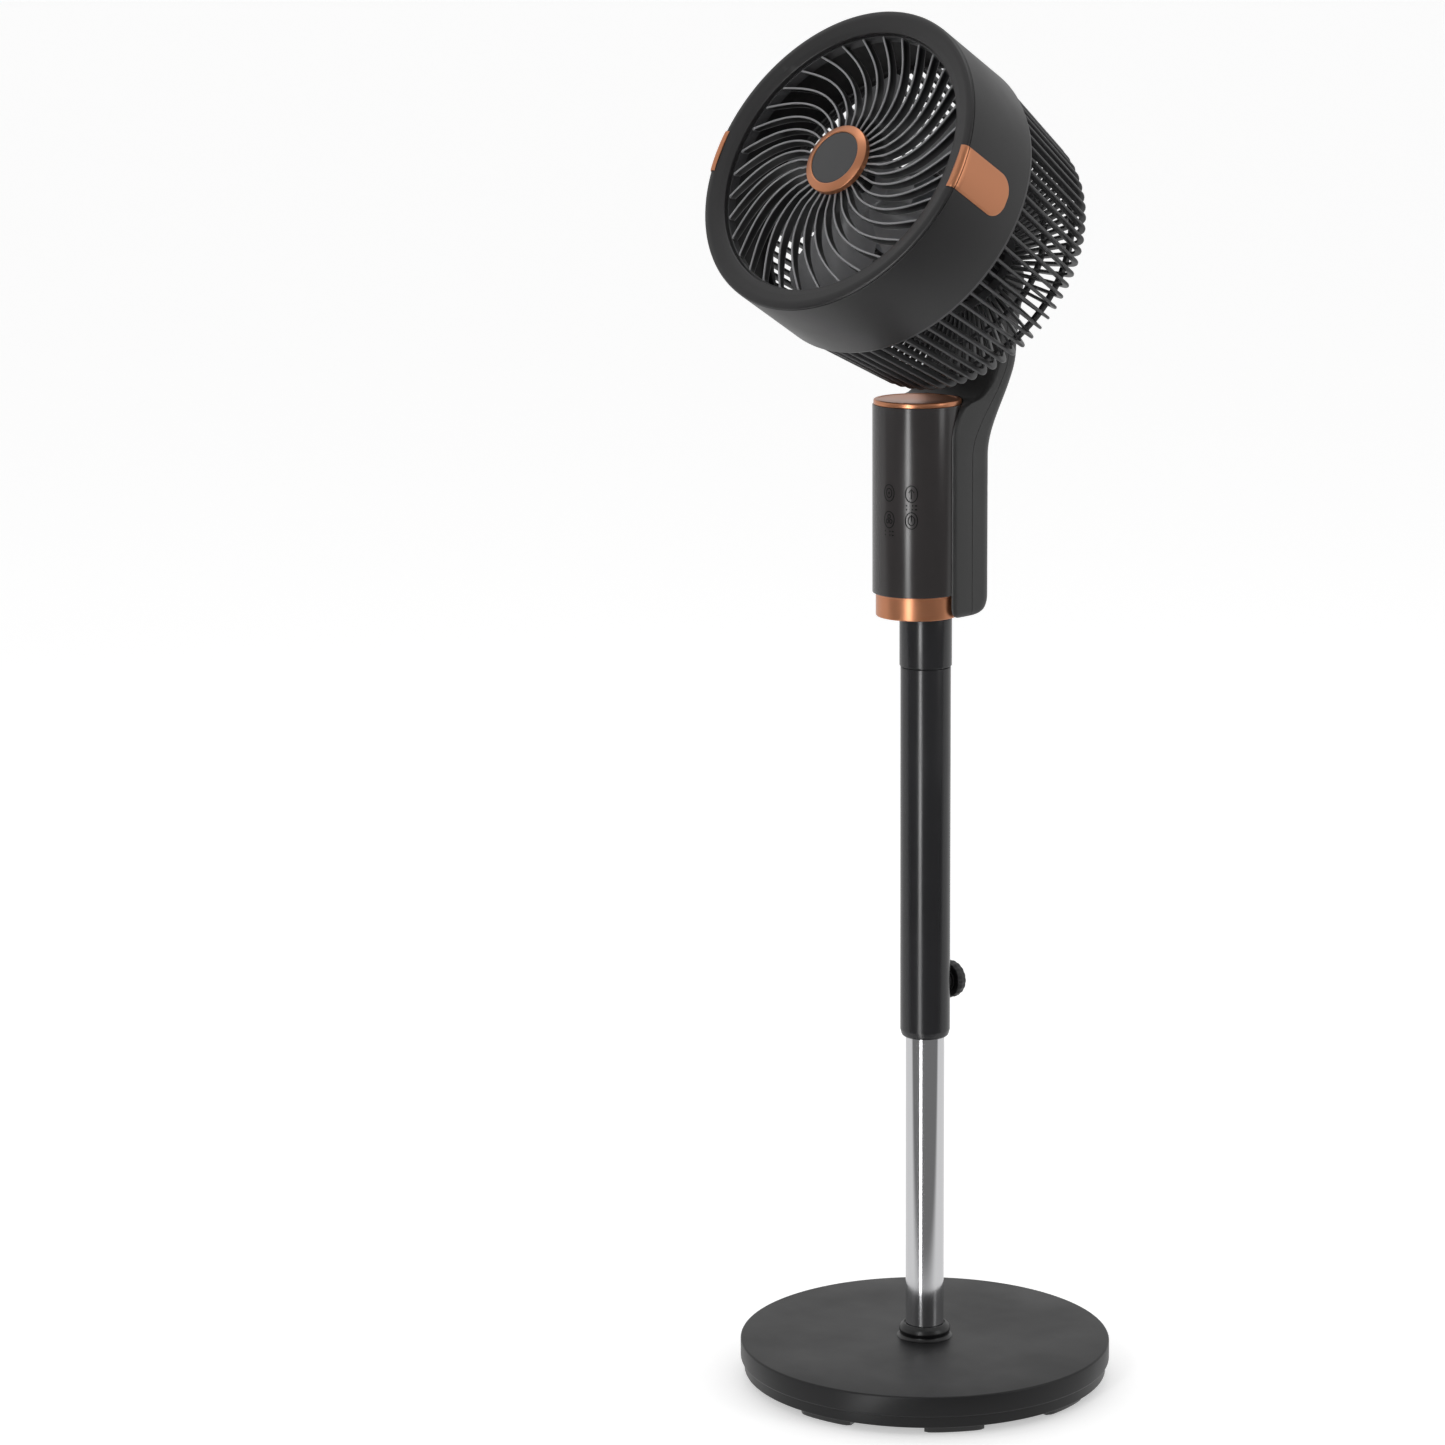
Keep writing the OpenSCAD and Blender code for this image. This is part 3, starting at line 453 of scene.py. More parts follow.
def make_mast():
    """Outer tube, its top sleeve and the clamp knob."""
    r = tube_high[0]
    low, high = tube_low[2], tube_high[2]
    inner = pole_r + 0.4
    pad_hole_r, band = 5.8, 7        # the band of the tube that the clamp pad's hole is cut from
    tube = raw_object("outer_tube_satin", [lathe([
        (inner, low + 1, 0.5), (inner + 1.6, low, 0.4), (r - 1.4, low + 0.3, 2.6), (r, low + 5.5, 3),
        (r, knob_z - band), (r, knob_z + band), (r, high - 0.6, 0.4), (r - 2, high - 0.6),
        (r - 2, knob_z + band), (r - 2, knob_z - band), (r - 2, low + 6), (inner, low + 6),
    ], steps=128)])
    toward_knob = local_frame((0, 0, knob_z * MM), (1, 0, 0), (0, 1, 0))
    cut(tube, raw_object("pad_hole", [lathe([
        (0, 1), (pad_hole_r, 1), (pad_hole_r, 40), (0, 40)], steps=48)], toward_knob))
    dress(tube, "mast", "tube_charcoal", ["outer_tube"])
    sleeve_r = sleeve_high[0]
    build("top_sleeve_satin", [lathe([
        (15, high - 12), (17.9, high - 12), (17.9, high), (sleeve_r, high + 0.2, 0.9),
        (sleeve_r, sleeve_high[2], 0.6), (12, sleeve_high[2]), (12, sleeve_high[2] - 10),
        (15, sleeve_high[2] - 10),
    ], steps=128)], "mast", "tube_charcoal", ["top_sleeve"])
    depth = knob_high[1] - knob_low[1]
    build("clamp_knob_grip", [lathe([
        (4, -1.2), (9.5, -1.2, 0.4), (9.5, 0.4), (knob_r - 1.2, 0, 1.0), (knob_r, 3.2, 2.2),
        (knob_r - 0.6, depth - 2.4, 2.6), (knob_r - 5.5, depth, 2.5), (6.5, depth, 0.8),
        (5.6, depth - 0.8, 0.6), (0, depth - 0.8), (0, 3), (4, 3),
    ], steps=180, flutes=18, flute_depth=0.5)], "clamp_knob", "knob_black", ["clamp_knob"], KNOB)


# ---------------------------------------------------------------- control column


def make_column():
    """Glossy shell, copper ring and cap, and the touch marks."""
    r = column_r
    low, high = shell_low[2], shell_high[2]
    build("column_shell_gloss", [lathe([
        (r - 2.5, low + 2.5), (ring_high[0] - 2.5, low + 2.5), (ring_high[0] - 2.5, low),
        (r, low, 0.9), (r, high, 0.5), (r - 2.5, high),
    ], steps=192)], "column", "column_gloss", ["column_shell"], COLUMN)
    ring_r = ring_high[0]
    build("bottom_ring_copper", [lathe([
        (ring_r - 2.4, ring_low[2]), (ring_r, ring_low[2], 1.1), (ring_r, ring_high[2] - 1.4, 0.3),
        (ring_r + 0.7, ring_high[2] - 1.0, 0.3), (ring_r + 0.7, ring_high[2], 0.2),
        (ring_r - 2.4, ring_high[2]),
    ], steps=192)], "column", "copper_trim", ["bottom_ring"], COLUMN)
    cap = cap_high[0]
    build("top_cap_copper", [lathe([
        (0, cap_high[2] - 4), (cap, cap_high[2] - 4, 0.4), (cap, cap_high[2], 1.3),
        (cap - 3.4, cap_high[2], 0.2), (cap - 3.7, cap_high[2] - 0.35, 0.2), (0, cap_high[2] - 0.35),
    ], steps=192)], "column", "copper_trim", ["top_cap"], COLUMN)
    make_touch_marks()


def wrapped(u, v, lift, azimuth, height):
    """Point on the column: u and v in millimetres from a mark's centre, lift off the surface."""
    angle = math.radians(azimuth - 90) + u / column_r
    radius = column_r + lift
    return (radius * math.cos(angle), radius * math.sin(angle), height + v)


def stroke(points, width, azimuth, height, closed=False):
    """Raised line of ink along points on the column."""
    points = [np.array(p, float) for p in points]
    rings = []
    for i, here in enumerate(points):
        before = points[i - 1] if closed or i else here
        after = points[(i + 1) % len(points)] if closed or i + 1 < len(points) else here
        along = (after - before) / np.linalg.norm(after - before)
        side = np.array([-along[1], along[0]]) * width / 2
        a, b = here + side, here - side
        rings.append([
            wrapped(a[0], a[1], -0.2, azimuth, height), wrapped(a[0], a[1], 0.07, azimuth, height),
            wrapped(b[0], b[1], 0.07, azimuth, height), wrapped(b[0], b[1], -0.2, azimuth, height),
        ])
    return skin(rings, closed)


def arc(width, height, first=0, last=360, centre=(0, 0), steps=40):
    """Points along an ellipse, from one angle to another."""
    whole = last - first >= 360
    count = steps if whole else steps + 1
    angles = [math.radians(first + (last - first) * k / steps) for k in range(count)]
    return [(centre[0] + width / 2 * math.cos(a), centre[1] + height / 2 * math.sin(a)) for a in angles]


def make_touch_marks():
    """Generic touch symbols: rings with a plain sign inside, and short bars under some."""
    ring_w, ring_h, line = 9.6, 13.0, 0.75
    upper, lower = 731.0, 710.0
    left, right = 3.4, 34.4
    marks = []

    def ring(azimuth, height, scale=1.0):
        marks.append(stroke(arc(ring_w * scale, ring_h * scale), line, azimuth, height, closed=True))

    def bar(points, azimuth, height, width=line):
        marks.append(stroke(points, width, azimuth, height))

    for azimuth in (left, right):
        for height in (upper, lower):
            ring(azimuth, height)
    ring(left, upper, 0.55)
    bar([(0, -1.0), (0, 1.0)], left, upper, 1.2)
    ring(right, lower, 0.55)
    bar([(0, -0.4), (0, 4.6)], right, lower)
    bar([(0, -3.8), (0, 3.8)], right, upper)
    bar([(-2.2, 1.0), (0, 3.6), (2.2, 1.0)], right, upper)
    for k in range(3):
        angle = math.radians(90 + 120 * k)
        centre = (1.9 * math.cos(angle), 2.5 * math.sin(angle))
        marks.append(stroke(arc(2.4, 3.2, centre=centre, steps=14), 0.8, left, lower, closed=True))
    for azimuth, height in ((right, upper), (left, lower)):
        for row in range(2):
            v = -ring_h / 2 - 2.6 - 3.0 * row
            bar([(-4.4, v), (1.4, v)], azimuth, height, 1.1)
            bar([(2.6, v), (4.4, v)], azimuth, height, 1.1)
    build("touch_marks", marks, "column", "knob_black", [], COLUMN, finish=INK)


# ---------------------------------------------------------------- arm

arm_low = box_mm("arm_front")[0][2]
arm_top = box_mm("arm_rear_cover")[1][2]
arm_half = box_mm("arm_rear_cover")[1][0]
arm_front, arm_back = -10, 39.5              # depths of the straight part beside the column
hollow_z, shelf_z = 770, 798                 # the front leaves the column between these heights
scoop_y, scoop_z, scoop_r = 4, 838, 40       # round hollow under the head
bend_z, bend = 755, 33                       # the back flares out from this height, and how far
seam_y, seam_bend = 12, 43
fork_r = 14.8
slot_half = 17.4


def inset_at(height, radius):
    """How far a rounded lower edge is drawn in at a height above the bottom."""
    if height >= radius:
        return 0
    return radius - math.sqrt(max(0, radius ** 2 - (radius - height) ** 2))


def eased(z):
    """Smooth rise from 0 to 1 over the height of the arm's bend."""
    return (1 - math.cos((z - bend_z) / (scoop_z - bend_z) * math.pi)) / 2


def arm_front_at(z):
    """Front of the arm: straight beside the column, then the hollow above it."""
    fork_deep = 13.5
    if z <= hollow_z:
        return arm_front + inset_at(z - arm_low, 8)
    if z <= shelf_z:
        return arm_front + (scoop_y - arm_front) * ((z - hollow_z) / (shelf_z - hollow_z)) ** 2
    if z <= scoop_z:
        return scoop_y + math.sqrt(scoop_r ** 2 - (scoop_z - z) ** 2)
    if z <= pivot[2]:
        return min(pivot[1] - fork_deep, scoop_y + scoop_r + 14 * ((z - scoop_z) / 37) ** 2)
    return pivot[1] - min(fork_deep, math.sqrt(fork_r ** 2 - (z - pivot[2]) ** 2))


def arm_back_at(z):
    """Back of the arm: straight, then a smooth flare to the pivot, and a round top."""
    if z <= bend_z:
        return arm_back - inset_at(z - arm_low, 14)
    if z <= scoop_z:
        return arm_back + bend * eased(z)
    start, reach = arm_back + bend, pivot[1] + 19
    if z <= pivot[2]:
        return start + (reach - start) * (z - scoop_z) / (pivot[2] - scoop_z)
    return reach - 9 * ((z - pivot[2]) / (arm_top - pivot[2])) ** 2


def arm_half_at(z):
    """Half the arm's width: it narrows above the bend."""
    if z <= scoop_z:
        return arm_half - inset_at(z - arm_low, 5)
    return arm_half - 8 * (z - scoop_z) / (arm_top - scoop_z) - 0.6 * inset_at(arm_top - z, 3)


def seam_at(z):
    """Where the arm's front and rear shells meet."""
    if z <= bend_z:
        return seam_y
    if z <= scoop_z:
        return seam_y + seam_bend * eased(z)
    return seam_y + seam_bend


def arm_section(z, inset):
    """Cross section of the arm at a height, drawn in by an inset."""
    half = arm_half_at(z) - inset
    front = arm_front_at(z) + (inset if z > hollow_z else -inset)
    back = max(front + 6, arm_back_at(z) - inset)
    deep = back - front
    front_r = min(4.5, 0.45 * deep)
    back_r = min(15 - inset, 0.5 * deep)
    outline = rounded([
        (-half, front, front_r), (half, front, front_r), (half, back, back_r), (-half, back, back_r),
    ], steps=8)
    return [(x, y, z) for x, y in outline]


def arm_solid(name, inset):
    """The arm as one solid; an inset makes the inside of its shells."""
    low, high = arm_low + inset, arm_top - inset
    foot_high = 14
    foot = [low + foot_high * (1 - math.cos(k / 12 * math.pi / 2)) for k in range(12)]
    rest = list(np.linspace(low + foot_high, bend_z, 4)) + list(np.linspace(bend_z + 3, high, 56))
    return raw_object(name, [skin([arm_section(z, inset) for z in foot + rest])])


def seam_prism(gap):
    """Everything behind the seam."""
    low, high, far = 600, 960, 220
    levels = [low, bend_z] + list(np.linspace(bend_z + 3, scoop_z, 28)) + [high]
    outline = [(seam_at(z) + gap, z) for z in levels] + [(far, high), (far, low)]
    return raw_object("seam_prism", [skin([[(x, y, z) for y, z in outline] for x in (-70, 70)])])


def column_hollow():
    """Room for the column and its cap in the arm's front."""
    return raw_object("column_hollow", [lathe([
        (0, arm_low - 9), (column_r + 0.25, arm_low - 9), (column_r + 0.25, cap_high[2] + 0.2),
        (0, cap_high[2] + 0.2),
    ], steps=128)], COLUMN)


def make_arm():
    """Front and rear shells of the arm, with their screws and bosses."""
    screw_x, screw_zs, recess_y = 30.5, (665.5, 728.7), 31.5
    wall, inlet_z, boss_r, boss_start = 2.5, 643, 4.4, 14
    whole = arm_solid("arm_whole", 0)
    cut(whole, arm_solid("arm_inside", wall))
    cut(whole, column_hollow())
    fork = local_frame((0, pivot[1] * MM, pivot[2] * MM), (1, 0, 0), (0, 1, 0))
    gap = rounded_box(2 * slot_half, 120, 5, 5)
    fork_gap = skin([[(x, y - 48, s) for x, y in gap] for s in (-130, 80)])
    cut(whole, raw_object("fork_gap", [fork_gap], fork))
    rear = bpy.data.objects.new("arm_rear_shell", whole.data.copy())
    bpy.context.scene.collection.objects.link(rear)
    whole.name = "arm_front_shell"
    cut(whole, seam_prism(-0.25))
    cut(rear, seam_prism(0.25), "INTERSECT")

    screw_places = [(side * screw_x, z) for side in (-1, 1) for z in screw_zs]
    for x, z in screw_places:
        place = local_frame((x * MM, 0, z * MM), (1, 0, 0), (0, 1, 0))
        cut(rear, raw_object("recess", [lathe([
            (0, recess_y), (boss_r, recess_y), (boss_r, 60), (0, 60)], steps=40)], place))
    inlet = local_frame((0, 0, inlet_z * MM), (1, 0, 0), (0, 1, 0))
    inlet_hole = lathe([(0, 20), (5.6, 20), (5.6, 60), (0, 60)], steps=48)
    cut(rear, raw_object("inlet_hole", [inlet_hole], inlet))
    bosses = []
    verts, faces = lathe([
        (1.6, boss_start), (boss_r, boss_start), (boss_r, recess_y + 0.3), (1.6, recess_y + 0.3),
    ], steps=32)
    for x, z in screw_places:
        bosses.append(([(vx + x, vz, vy + z) for vx, vy, vz in verts], faces))
    dress(whole, "column", "arm_charcoal", ["arm_front"])
    dress(rear, "column", "arm_charcoal", ["arm_rear_cover"])
    build("arm_screw_bosses", bosses, "column", "arm_charcoal")
    screws = []
    for x, z in screw_places:
        screws.append((local_frame((x, recess_y, z), (1, 0, 0), (0, 1, 0)), 3.0, 2.0, 18))
    make_screws("arm_cover_screws", screws, "column", ["arm_screws"])


# ---------------------------------------------------------------- screws


def screw_template(radius, height, shank):
    """Pan-head screw with a cross recess; the head stands on z = 0."""
    head = raw_object("screw_head", [lathe([
        (0, -shank), (radius / 2 - 0.3, -shank, 0.3), (radius / 2, -shank + 1.2), (radius / 2, 0),
        (radius, 0, 0.2), (radius, height * 0.55, height * 0.4), (radius * 0.55, height, 0.5),
        (0, height),
    ], steps=48)], np.eye(4))
    for angle in (0, math.pi / 2):
        bar = skin([[(x * f, y * f, z) for x, y in rounded_box(radius * 1.15, radius * 0.26, radius * 0.1)]
                    for z, f in ((height - 1.1, 0.6), (height + 0.5, 1.05))])
        cut(head, raw_object("recess", [turned(bar, angle)], np.eye(4)))
    verts = [tuple(v.co) for v in head.data.vertices]
    faces = [list(p.vertices) for p in head.data.polygons]
    bpy.data.objects.remove(head)
    return np.array(verts), faces


def make_screws(name, places, body, stands_for):
    """One piece of screws, from (matrix with its origin in mm, head radius, head height, shank)."""
    shells = []
    for place, radius, height, shank in places:
        verts, faces = screw_template(radius, height, shank)
        scale = place.copy()
        scale[:3, :3] /= MM
        shells.append((verts @ scale[:3, :3].T + scale[:3, 3], faces))
    build(name, shells, body, "zinc_steel", stands_for)


# ---------------------------------------------------------------- head shell


def make_head_shell():
    """Drum, bezel, side trims and the hub."""
    r = head_r
    build("head_shroud_satin", [lathe([
        (r, -0.95, 0.5), (r, shroud_back, 1.1), (r - 8, shroud_back, 0.8), (r - 8, shroud_back + 2.6, 0.8),
        (r - 2.8, shroud_back + 3.2, 2), (r - 2.8, -0.95, 0.4),
    ], steps=288)], "fan_head", "shroud_charcoal", ["head_shroud"], HEAD)
    build("front_bezel_satin", [lathe([
        (bezel_r, -13), (bezel_r, -1.4, 1.0), (bezel_r + 5, 0.5, 8), (r - 5, 2.6, 7), (r - 0.6, 1.4, 2.4),
        (r, -0.35, 0.3), (r - 3.2, -0.35), (r - 3.2, -8), (r - 5.4, -8), (r - 5.4, -3),
        (bezel_r + 2.4, -3), (bezel_r + 2.4, -13),
    ], steps=288)], "fan_head", "shroud_charcoal", ["front_bezel"], HEAD)
    make_side_trims()
    low = -3
    build("hub_ring_copper", [lathe([
        (cap_r, low), (hub_r, low), (hub_r, 1.5, 0.5), (cap_r + 0.9, 4.15, 0.7), (cap_r, 3.7, 0.3),
    ], steps=160)], "fan_head", "copper_trim", ["hub_ring"], HEAD)
    build("hub_cap_satin", [lathe([
        (0, low), (cap_r - 0.1, low), (cap_r - 0.1, 3.2, 0.3), (cap_r - 0.8, 3.55, 0.4), (0, 3.75),
    ], steps=160)], "fan_head", "hub_grey", ["hub_cap"], HEAD)


def make_side_trims():
    """Copper tabs: one piece on the bezel's edge and one on the drum, split at the seam."""
    half, end, corner, lift = 17.0, -57.0, 14.0, 0.7
    columns = 24

    def tab(rows, width_at):
        """Rows are (radius, depth, outward radius part, outward depth part)."""
        grid, thick = [], []
        for radius, depth, out_r, out_s in rows:
            wide = width_at(depth) / radius
            line, line_thick = [], []
            for j in range(columns + 1):
                t = -1 + 2 * j / columns
                a = wide * t
                middle = radius + out_r * lift / 2
                line.append((middle * math.cos(a), middle * math.sin(a), depth + out_s * lift / 2))
                line_thick.append(lift * (1 - 0.65 * abs(t) ** 30))
            grid.append(line)
            thick.append(line_thick)
        thick[0] = [0.4 * v for v in thick[0]]
        thick[-1] = [0.4 * v for v in thick[-1]]
        return plate(grid, thick)

    def drum_width(depth):
        inset = corner - (depth - end)
        return half if inset <= 0 else half - corner + math.sqrt(max(0, corner ** 2 - inset ** 2))

    depths = [end + corner * (1 - math.cos(k / 14 * math.pi / 2)) for k in range(15)]
    depths += list(np.linspace(end + corner + 4, -1.6, 8)) + [-1.1]
    drum_rows = [(head_r, depth, 1, 0) for depth in depths]
    edge_rows = [(head_r, -0.3, 1, 0)]
    for k in range(9):
        angle = math.radians(5 + 75 * k / 8)
        edge_rows.append((head_r - 3 + 3 * math.cos(angle), -0.45 + 3 * math.sin(angle),
                          math.cos(angle), math.sin(angle)))
    edge_rows += [(head_r - 4, 2.52, 0.1, 1), (head_r - 5.4, 2.38, 0.1, 1)]
    shells = []
    for side in (0, math.pi):
        shells.append(turned(tab(drum_rows, drum_width), side))
        shells.append(turned(tab(edge_rows, lambda depth: half), side))
    build("side_trims_copper", shells, "fan_head", "copper_trim", ["side_trims"], HEAD)


# ---------------------------------------------------------------- front grille


def vane_angle(radius):
    """Turn of a vane at a radius: straight near the hub, a spiral further out, easing at the rim."""
    u = max(0, (radius - 40) / 68)
    return math.radians(30 * u ** 1.25 + 14 * u ** 3 * (1 - u))


def vane():
    """One curved vane: a round front edge, sides that thin towards the back, and a sunken outer end."""
    front_half, rear_half = 0.85, 0.5
    inner, outer, steps = 24.0, bezel_r - 0.2, 40
    sunk_from, step = 106.4, 0.5
    rings = []
    for i in range(steps + 1):
        radius = inner + (outer - inner) * i / steps
        grown = (radius - inner) / (outer - inner)
        angle = vane_angle(radius)
        slope = radius * (vane_angle(radius + step) - vane_angle(radius - step)) / (2 * step)
        heading = angle + math.atan(slope)
        side = np.array([math.sin(heading), -math.cos(heading), 0])
        up = np.array([0, 0, 1.0])
        twist = math.radians(14 * max(0, (grown - 0.35) / 0.65) ** 1.5)
        down = -up * math.cos(twist) + side * math.sin(twist)
        across = side * math.cos(twist) + up * math.sin(twist)
        depth = 8.0 + 1.0 * math.sin(math.pi * grown)
        sunk = 1.8 * min(1, max(0, (radius - sunk_from) / 1.5))
        lip = np.array([radius * math.cos(angle), radius * math.sin(angle), -3.3 - 1.0 * grown - sunk])
        ring = []
        for k in range(7):
            a = math.radians(-90 + 30 * k)
            ring.append(lip + down * front_half * (1 - math.cos(a)) + across * front_half * math.sin(a))
        sides = [(1.9, 0.82), (depth - 1.2, 0.62), (depth, rear_half)]
        ring += [lip + down * d + across * w for d, w in sides]
        ring.append(lip + down * (depth + 0.4))
        ring += [lip + down * d - across * w for d, w in sides[::-1]]
        rings.append(ring)
    return skin(rings)


def make_grille():
    """Vanes, their rim band and the plate behind the hub."""
    one = vane()
    vanes = [turned(one, 2 * math.pi * k / VANES) for k in range(VANES)]
    build("front_grille_vanes", vanes, "fan_head", "grille_charcoal", ["front_grille"], HEAD, finish=VANE)
    band_in, band_out = bezel_r - 1.6, bezel_r + 0.05
    rim_band = lathe([
        (band_in, -13.2), (band_out, -13.2), (band_out, -5, 0.3), (band_in, -5, 0.4),
    ], steps=288)
    hub_plate = lathe([
        (0, -12.5), (24.5, -12.5, 1.5), (26.2, -4.2, 0.8), (25.4, -3.02), (0, -3.02),
    ])
    build("front_grille_frame", [rim_band, hub_plate], "fan_head", "grille_charcoal", [], HEAD)


# ---------------------------------------------------------------- rear cage


def make_cage():
    """Rear ribs with their rings, and the cross-recess screws."""
    rib_w, rib_deep = 2.3, 5.6
    corner_r = 113
    path = rounded([
        (head_r - 1.2, shroud_back + 2), (corner_r, cage_back, 13), (can_r + 5.5, cage_back),
    ], closed=False, steps=9)
    path = [path[0] * (1 - t) + path[1] * t for t in (0, 0.5)] + path[1:]
    section = rounded_box(rib_deep, rib_w, 1.0, 3)
    rings = []
    for i, here in enumerate(path):
        before = path[max(0, i - 1)]
        after = path[min(len(path) - 1, i + 1)]
        along = (after - before) / np.linalg.norm(after - before)
        outward = np.array([-along[1], along[0]])
        ring = []
        for deep, wide in section:
            point = here + outward * (deep - rib_deep / 2)
            ring.append((point[0], wide, point[1]))
        rings.append(ring)
    one = skin(rings)
    shells = [turned(one, 2 * math.pi * (k + 0.5) / RIBS) for k in range(RIBS)]
    ring_in, ring_front, ring_back = head_r - 7.6, shroud_back - 0.05, shroud_back - 2.6
    shells.append(lathe([
        (ring_in, ring_front), (head_r - 1, ring_front), (head_r - 1.2, ring_back, 0.8),
        (ring_in, ring_back, 0.8),
    ], steps=216))
    for radius in (97, 71.5):
        near, far = radius - 2, radius + 2
        low, high = cage_back + 0.9, cage_back + 5.2
        shells.append(lathe([
            (near, low, 0.7), (far, low, 0.7), (far, high, 0.7), (near, high, 0.7),
        ], steps=180))
    shells.append(lathe([
        (can_r + 0.1, cage_back - 0.4, 0.6), (46.5, cage_back - 0.4, 1.4), (46.5, cage_back + 6, 0.8),
        (can_r + 0.1, cage_back + 6),
    ]))
    build("rear_cage_ribs", shells, "fan_head", "grille_charcoal", ["rear_cage"], HEAD)
    screws = []
    screw_ring_r = 42.2
    for k in range(4):
        angle = math.radians(45 + 90 * k)
        x, y = screw_ring_r * math.cos(angle), screw_ring_r * math.sin(angle)
        place = np.eye(4)
        spot = np.array([x, y, cage_back - 0.4, 1])
        place[:3, :3] = HEAD[:3, :3] @ np.diag([1, -1, -1])
        place[:3, 3] = (HEAD @ spot)[:3] / MM
        screws.append((place, 3.0, 1.8, 5))
    make_screws("cage_cross_screws", screws, "fan_head", ["cage_screws"])


# ---------------------------------------------------------------- motor and impeller


def make_motor():
    """Finned can behind the impeller."""
    back, front, fins = -184, -92, 36
    shells = [lathe([
        (0, back), (can_r - 5, back, 2), (can_r, back + 5, 3), (can_r, front, 0.8), (can_r - 2.5, front),
        (can_r - 2.5, back + 2.5), (0, back + 2.5),
    ], steps=144)]
    fin = skin([[(r, w, s) for r, w in rounded_box(2.4, 1.8, 0.5)] for s in (-170, front + 3)])
    fin = ([(x + can_r, y, z) for x, y, z in fin[0]], fin[1])
    shells += [turned(fin, 2 * math.pi * k / fins) for k in range(fins)]
    build("motor_housing_finned", shells, "fan_head", "grille_charcoal", ["motor_housing"], HEAD)


def blade():
    """One wide twisted blade: its rear edge is radial and its front edge sweeps back."""
    inner, outer, rear_depth = 22.5, 97.0, -65
    rows, columns = 18, 16
    grid, thick = [], []
    for i in range(rows + 1):
        grown = i / rows
        radius = inner + (outer - inner) * grown
        span = math.radians(54 - 13 * grown)
        tip = max(0, (grown - 0.86) / 0.14)
        trim = 0.5 * (1 - math.sqrt(max(0, 1 - 0.75 * tip ** 2)))
        line, line_thick = [], []
        for j in range(columns + 1):
            t = j / columns
            c = trim * 0.5 + t * (1 - trim)
            angle = -span * c
            rise = 26 * c + 5 * math.sin(math.pi * c) * (1 - 0.5 * grown)
            depth = rear_depth + rise * (1 - 0.12 * grown)
            line.append((radius * math.cos(angle), radius * math.sin(angle), depth))
            fullness = max(0, math.sin(math.pi * min(0.98, 0.02 + t)))
            line_thick.append(0.5 + 2.0 * math.sqrt(fullness))
        grid.append(line)
        thick.append([v * (0.4 if i in (0, rows) else 1) for v in line_thick])
    return plate(grid, thick)


def make_impeller():
    """Blades on their hub, and the nut that holds them."""
    one = blade()
    first = math.radians(-80)
    shells = [turned(one, first + 2 * math.pi * k / BLADES) for k in range(BLADES)]
    shells.append(lathe([
        (4, -68), (8, -68), (8, -44), (22, -44), (22, -68), (24, -68, 0.8), (24, -40, 3), (12, -37.6, 2),
        (4, -37.6),
    ]))
    build("impeller_blades", shells, "rotor", "blade_grey", ["impeller"], HEAD)
    build("impeller_nut_cap", [lathe([
        (4, -38), (9.5, -38, 0.4), (9, -29, 2), (6, -26, 2), (0, -26), (0, -33), (4, -33),
    ], steps=96, flutes=8, flute_depth=1.0)], "rotor", "grille_charcoal", ["impeller_nut"], HEAD)


# ---------------------------------------------------------------- scene

CAMERA_SIDE = (0.664, -0.748, 0.0)       # level directions from the object
STRIP_SIDE = (0.302, -0.953, 0.0)
AIM = (0, 0, 0.8)


def part_toward(nodes, link, source, direction):
    """How far a vector reaches along a direction."""
    part = nodes.new("ShaderNodeVectorMath")
    part.operation = "DOT_PRODUCT"
    part.inputs[1].default_value = direction
    link(source, part.inputs[0])
    return part.outputs["Value"]


def ramp(nodes, link, source, first, last, start, end, kind="LINEAR"):
    """Value that goes from start to end while the source goes from first to last."""
    node = nodes.new("ShaderNodeMapRange")
    node.interpolation_type = kind
    node.inputs["From Min"].default_value = first
    node.inputs["From Max"].default_value = last
    node.inputs["To Min"].default_value = start
    node.inputs["To Max"].default_value = end
    link(source, node.inputs["Value"])
    return node.outputs["Result"]


def painted_strip_glow_on_floor(nodes, link, where, shade):
    """Painted glow: a bright wedge of floor under the strip light, added to the light that the floor sends out, so
    that the pole, ring, tube and base reflect a bright line.
    """
    ahead = part_toward(nodes, link, where, STRIP_SIDE)
    aside = part_toward(nodes, link, where, (-STRIP_SIDE[1], STRIP_SIDE[0], 0))
    ratio = nodes.new("ShaderNodeMath")
    ratio.operation = "DIVIDE"
    link(aside, ratio.inputs[0])
    link(ahead, ratio.inputs[1])
    size = nodes.new("ShaderNodeMath")
    size.operation = "ABSOLUTE"
    link(ratio.outputs["Value"], size.inputs[0])
    wedge = nodes.new("ShaderNodeMath")
    wedge.operation = "MULTIPLY_ADD"
    link(ramp(nodes, link, size.outputs["Value"], 0.07, 0.12, 1, 0), wedge.inputs[0])
    link(ramp(nodes, link, ahead, 0.16, 0.3, 0, 6.0), wedge.inputs[1])
    link(shade, wedge.inputs[2])
    return wedge.outputs["Value"]


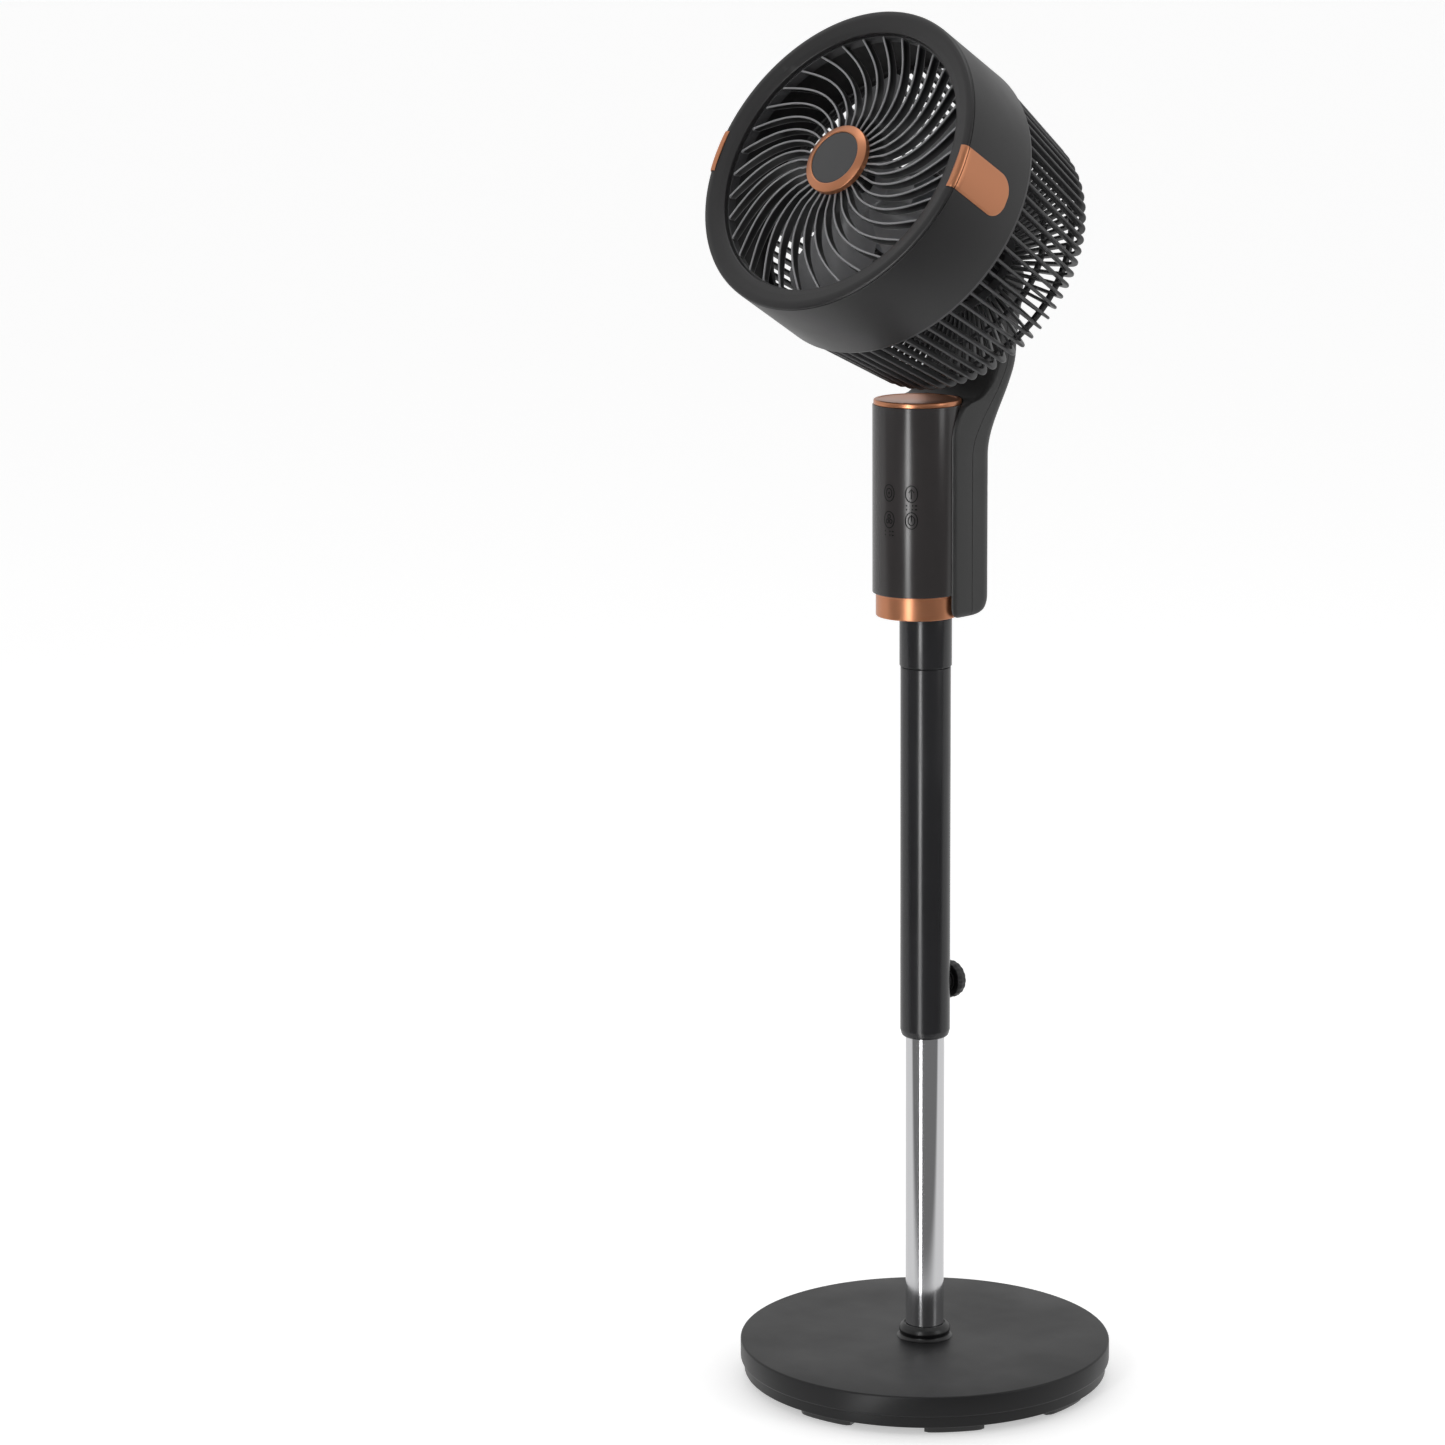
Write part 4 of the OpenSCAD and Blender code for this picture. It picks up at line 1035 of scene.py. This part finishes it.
def make_floor():
    """White paper, built in nested squares; it looks plain white to the camera, while what it sends to the object
    is a painted glow, dimmer in front.
    """
    squares = []
    for half in (30000, 9000, 3500, 1500, 700, 300):
        squares.append([(-half, -half, 0), (half, -half, 0), (half, half, 0), (-half, half, 0)])
    verts, faces = skin(squares)
    floor = raw_object("floor", [(verts, faces[:-2] + faces[-1:])])
    paper = surface("floor_paper", (0.86, 0.86, 0.86, 1), 0.85, grain_mm=1.5, grain=0.05, tint=0.01,
                    patch_mm=900, edge_wear_and_sheen=0)
    nodes = paper.node_tree.nodes
    link = paper.node_tree.links.new
    seen = nodes["Principled BSDF"]
    seen.inputs["Emission Color"].default_value = (1, 1, 1, 1)
    seen.inputs["Emission Strength"].default_value = 0.42
    # Painted glow: to the object the floor is an emitter, dimmer on the camera's side and with a bright wedge
    # under the strip light.
    floor_glow = nodes.new("ShaderNodeEmission")
    where = nodes.new("ShaderNodeTexCoord").outputs["Object"]
    toward = part_toward(nodes, link, where, CAMERA_SIDE)
    shade = ramp(nodes, link, toward, 0.10, 0.42, 0.80, 0.20, "SMOOTHSTEP")
    link(painted_strip_glow_on_floor(nodes, link, where, shade), floor_glow.inputs["Strength"])
    ray = nodes.new("ShaderNodeLightPath")
    pick = nodes.new("ShaderNodeMixShader")
    link(ray.outputs["Is Camera Ray"], pick.inputs["Fac"])
    link(floor_glow.outputs["Emission"], pick.inputs[1])
    link(seen.outputs["BSDF"], pick.inputs[2])
    link(pick.outputs["Shader"], nodes["Material Output"].inputs["Surface"])
    floor.data.materials.append(paper)


def make_studio():
    """Soft white surroundings, dimmer on the camera's side; the background itself is plain white."""
    world = bpy.data.worlds.new("studio")
    bpy.context.scene.world = world
    world.use_nodes = True
    nodes = world.node_tree.nodes
    link = world.node_tree.links.new
    direction = nodes.new("ShaderNodeTexCoord").outputs["Generated"]
    facing = part_toward(nodes, link, direction, CAMERA_SIDE)
    ray = nodes.new("ShaderNodeLightPath")
    strength = nodes.new("ShaderNodeMix")
    strength.inputs["B"].default_value = 1.0
    link(ray.outputs["Is Camera Ray"], strength.inputs["Factor"])
    link(ramp(nodes, link, facing, 0.1, 0.85, 0.72, 0.28, "SMOOTHSTEP"), strength.inputs["A"])
    link(strength.outputs["Result"], nodes["Background"].inputs["Strength"])
    nodes["Background"].inputs["Color"].default_value = (1, 1, 1, 1)


def area_light(name, place, target, width, height, power):
    """Rectangular soft light aimed at a point."""
    data = bpy.data.lights.new(name, "AREA")
    data.shape = "RECTANGLE"
    data.size, data.size_y = width, height
    data.energy = power
    lamp = bpy.data.objects.new(name, data)
    bpy.context.scene.collection.objects.link(lamp)
    lamp.location = place
    aim = Vector(target) - Vector(place)
    lamp.rotation_euler = aim.to_track_quat("-Z", "Y").to_euler()
    return lamp


def make_camera():
    """The photograph's viewpoint: front right, a little above the head, a long lens."""
    data = bpy.data.cameras.new("camera")
    data.lens = 112.1
    data.sensor_width = 36
    data.clip_end = 100
    camera = bpy.data.objects.new("camera", data)
    bpy.context.scene.collection.objects.link(camera)
    azimuth, slope, roll = (math.radians(angle) for angle in (44.2805, 78.7423, -0.4195))
    turn = (Matrix.Rotation(azimuth, 4, "Z") @ Matrix.Rotation(slope, 4, "X")
            @ Matrix.Rotation(roll, 4, "Z"))
    camera.matrix_world = Matrix.Translation((2.329, -2.619, 1.240)) @ turn
    bpy.context.scene.camera = camera


make_base()
make_mast()
make_column()
make_arm()
make_head_shell()
make_grille()
make_cage()
make_motor()
make_impeller()
make_floor()
make_studio()
make_camera()
area_light("strip", (0.95, -2.9, 0.95), (0, 0, 0.75), 0.36, 2.8, 26)
area_light("right_box", (3.0, 0.9, 1.5), AIM, 0.8, 1.8, 10)
area_light("top_box", (-0.3, 0.4, 3.4), AIM, 1.6, 1.6, 12)
bpy.context.scene.view_settings.view_transform = "Standard"

bpy.context.view_layer.update()
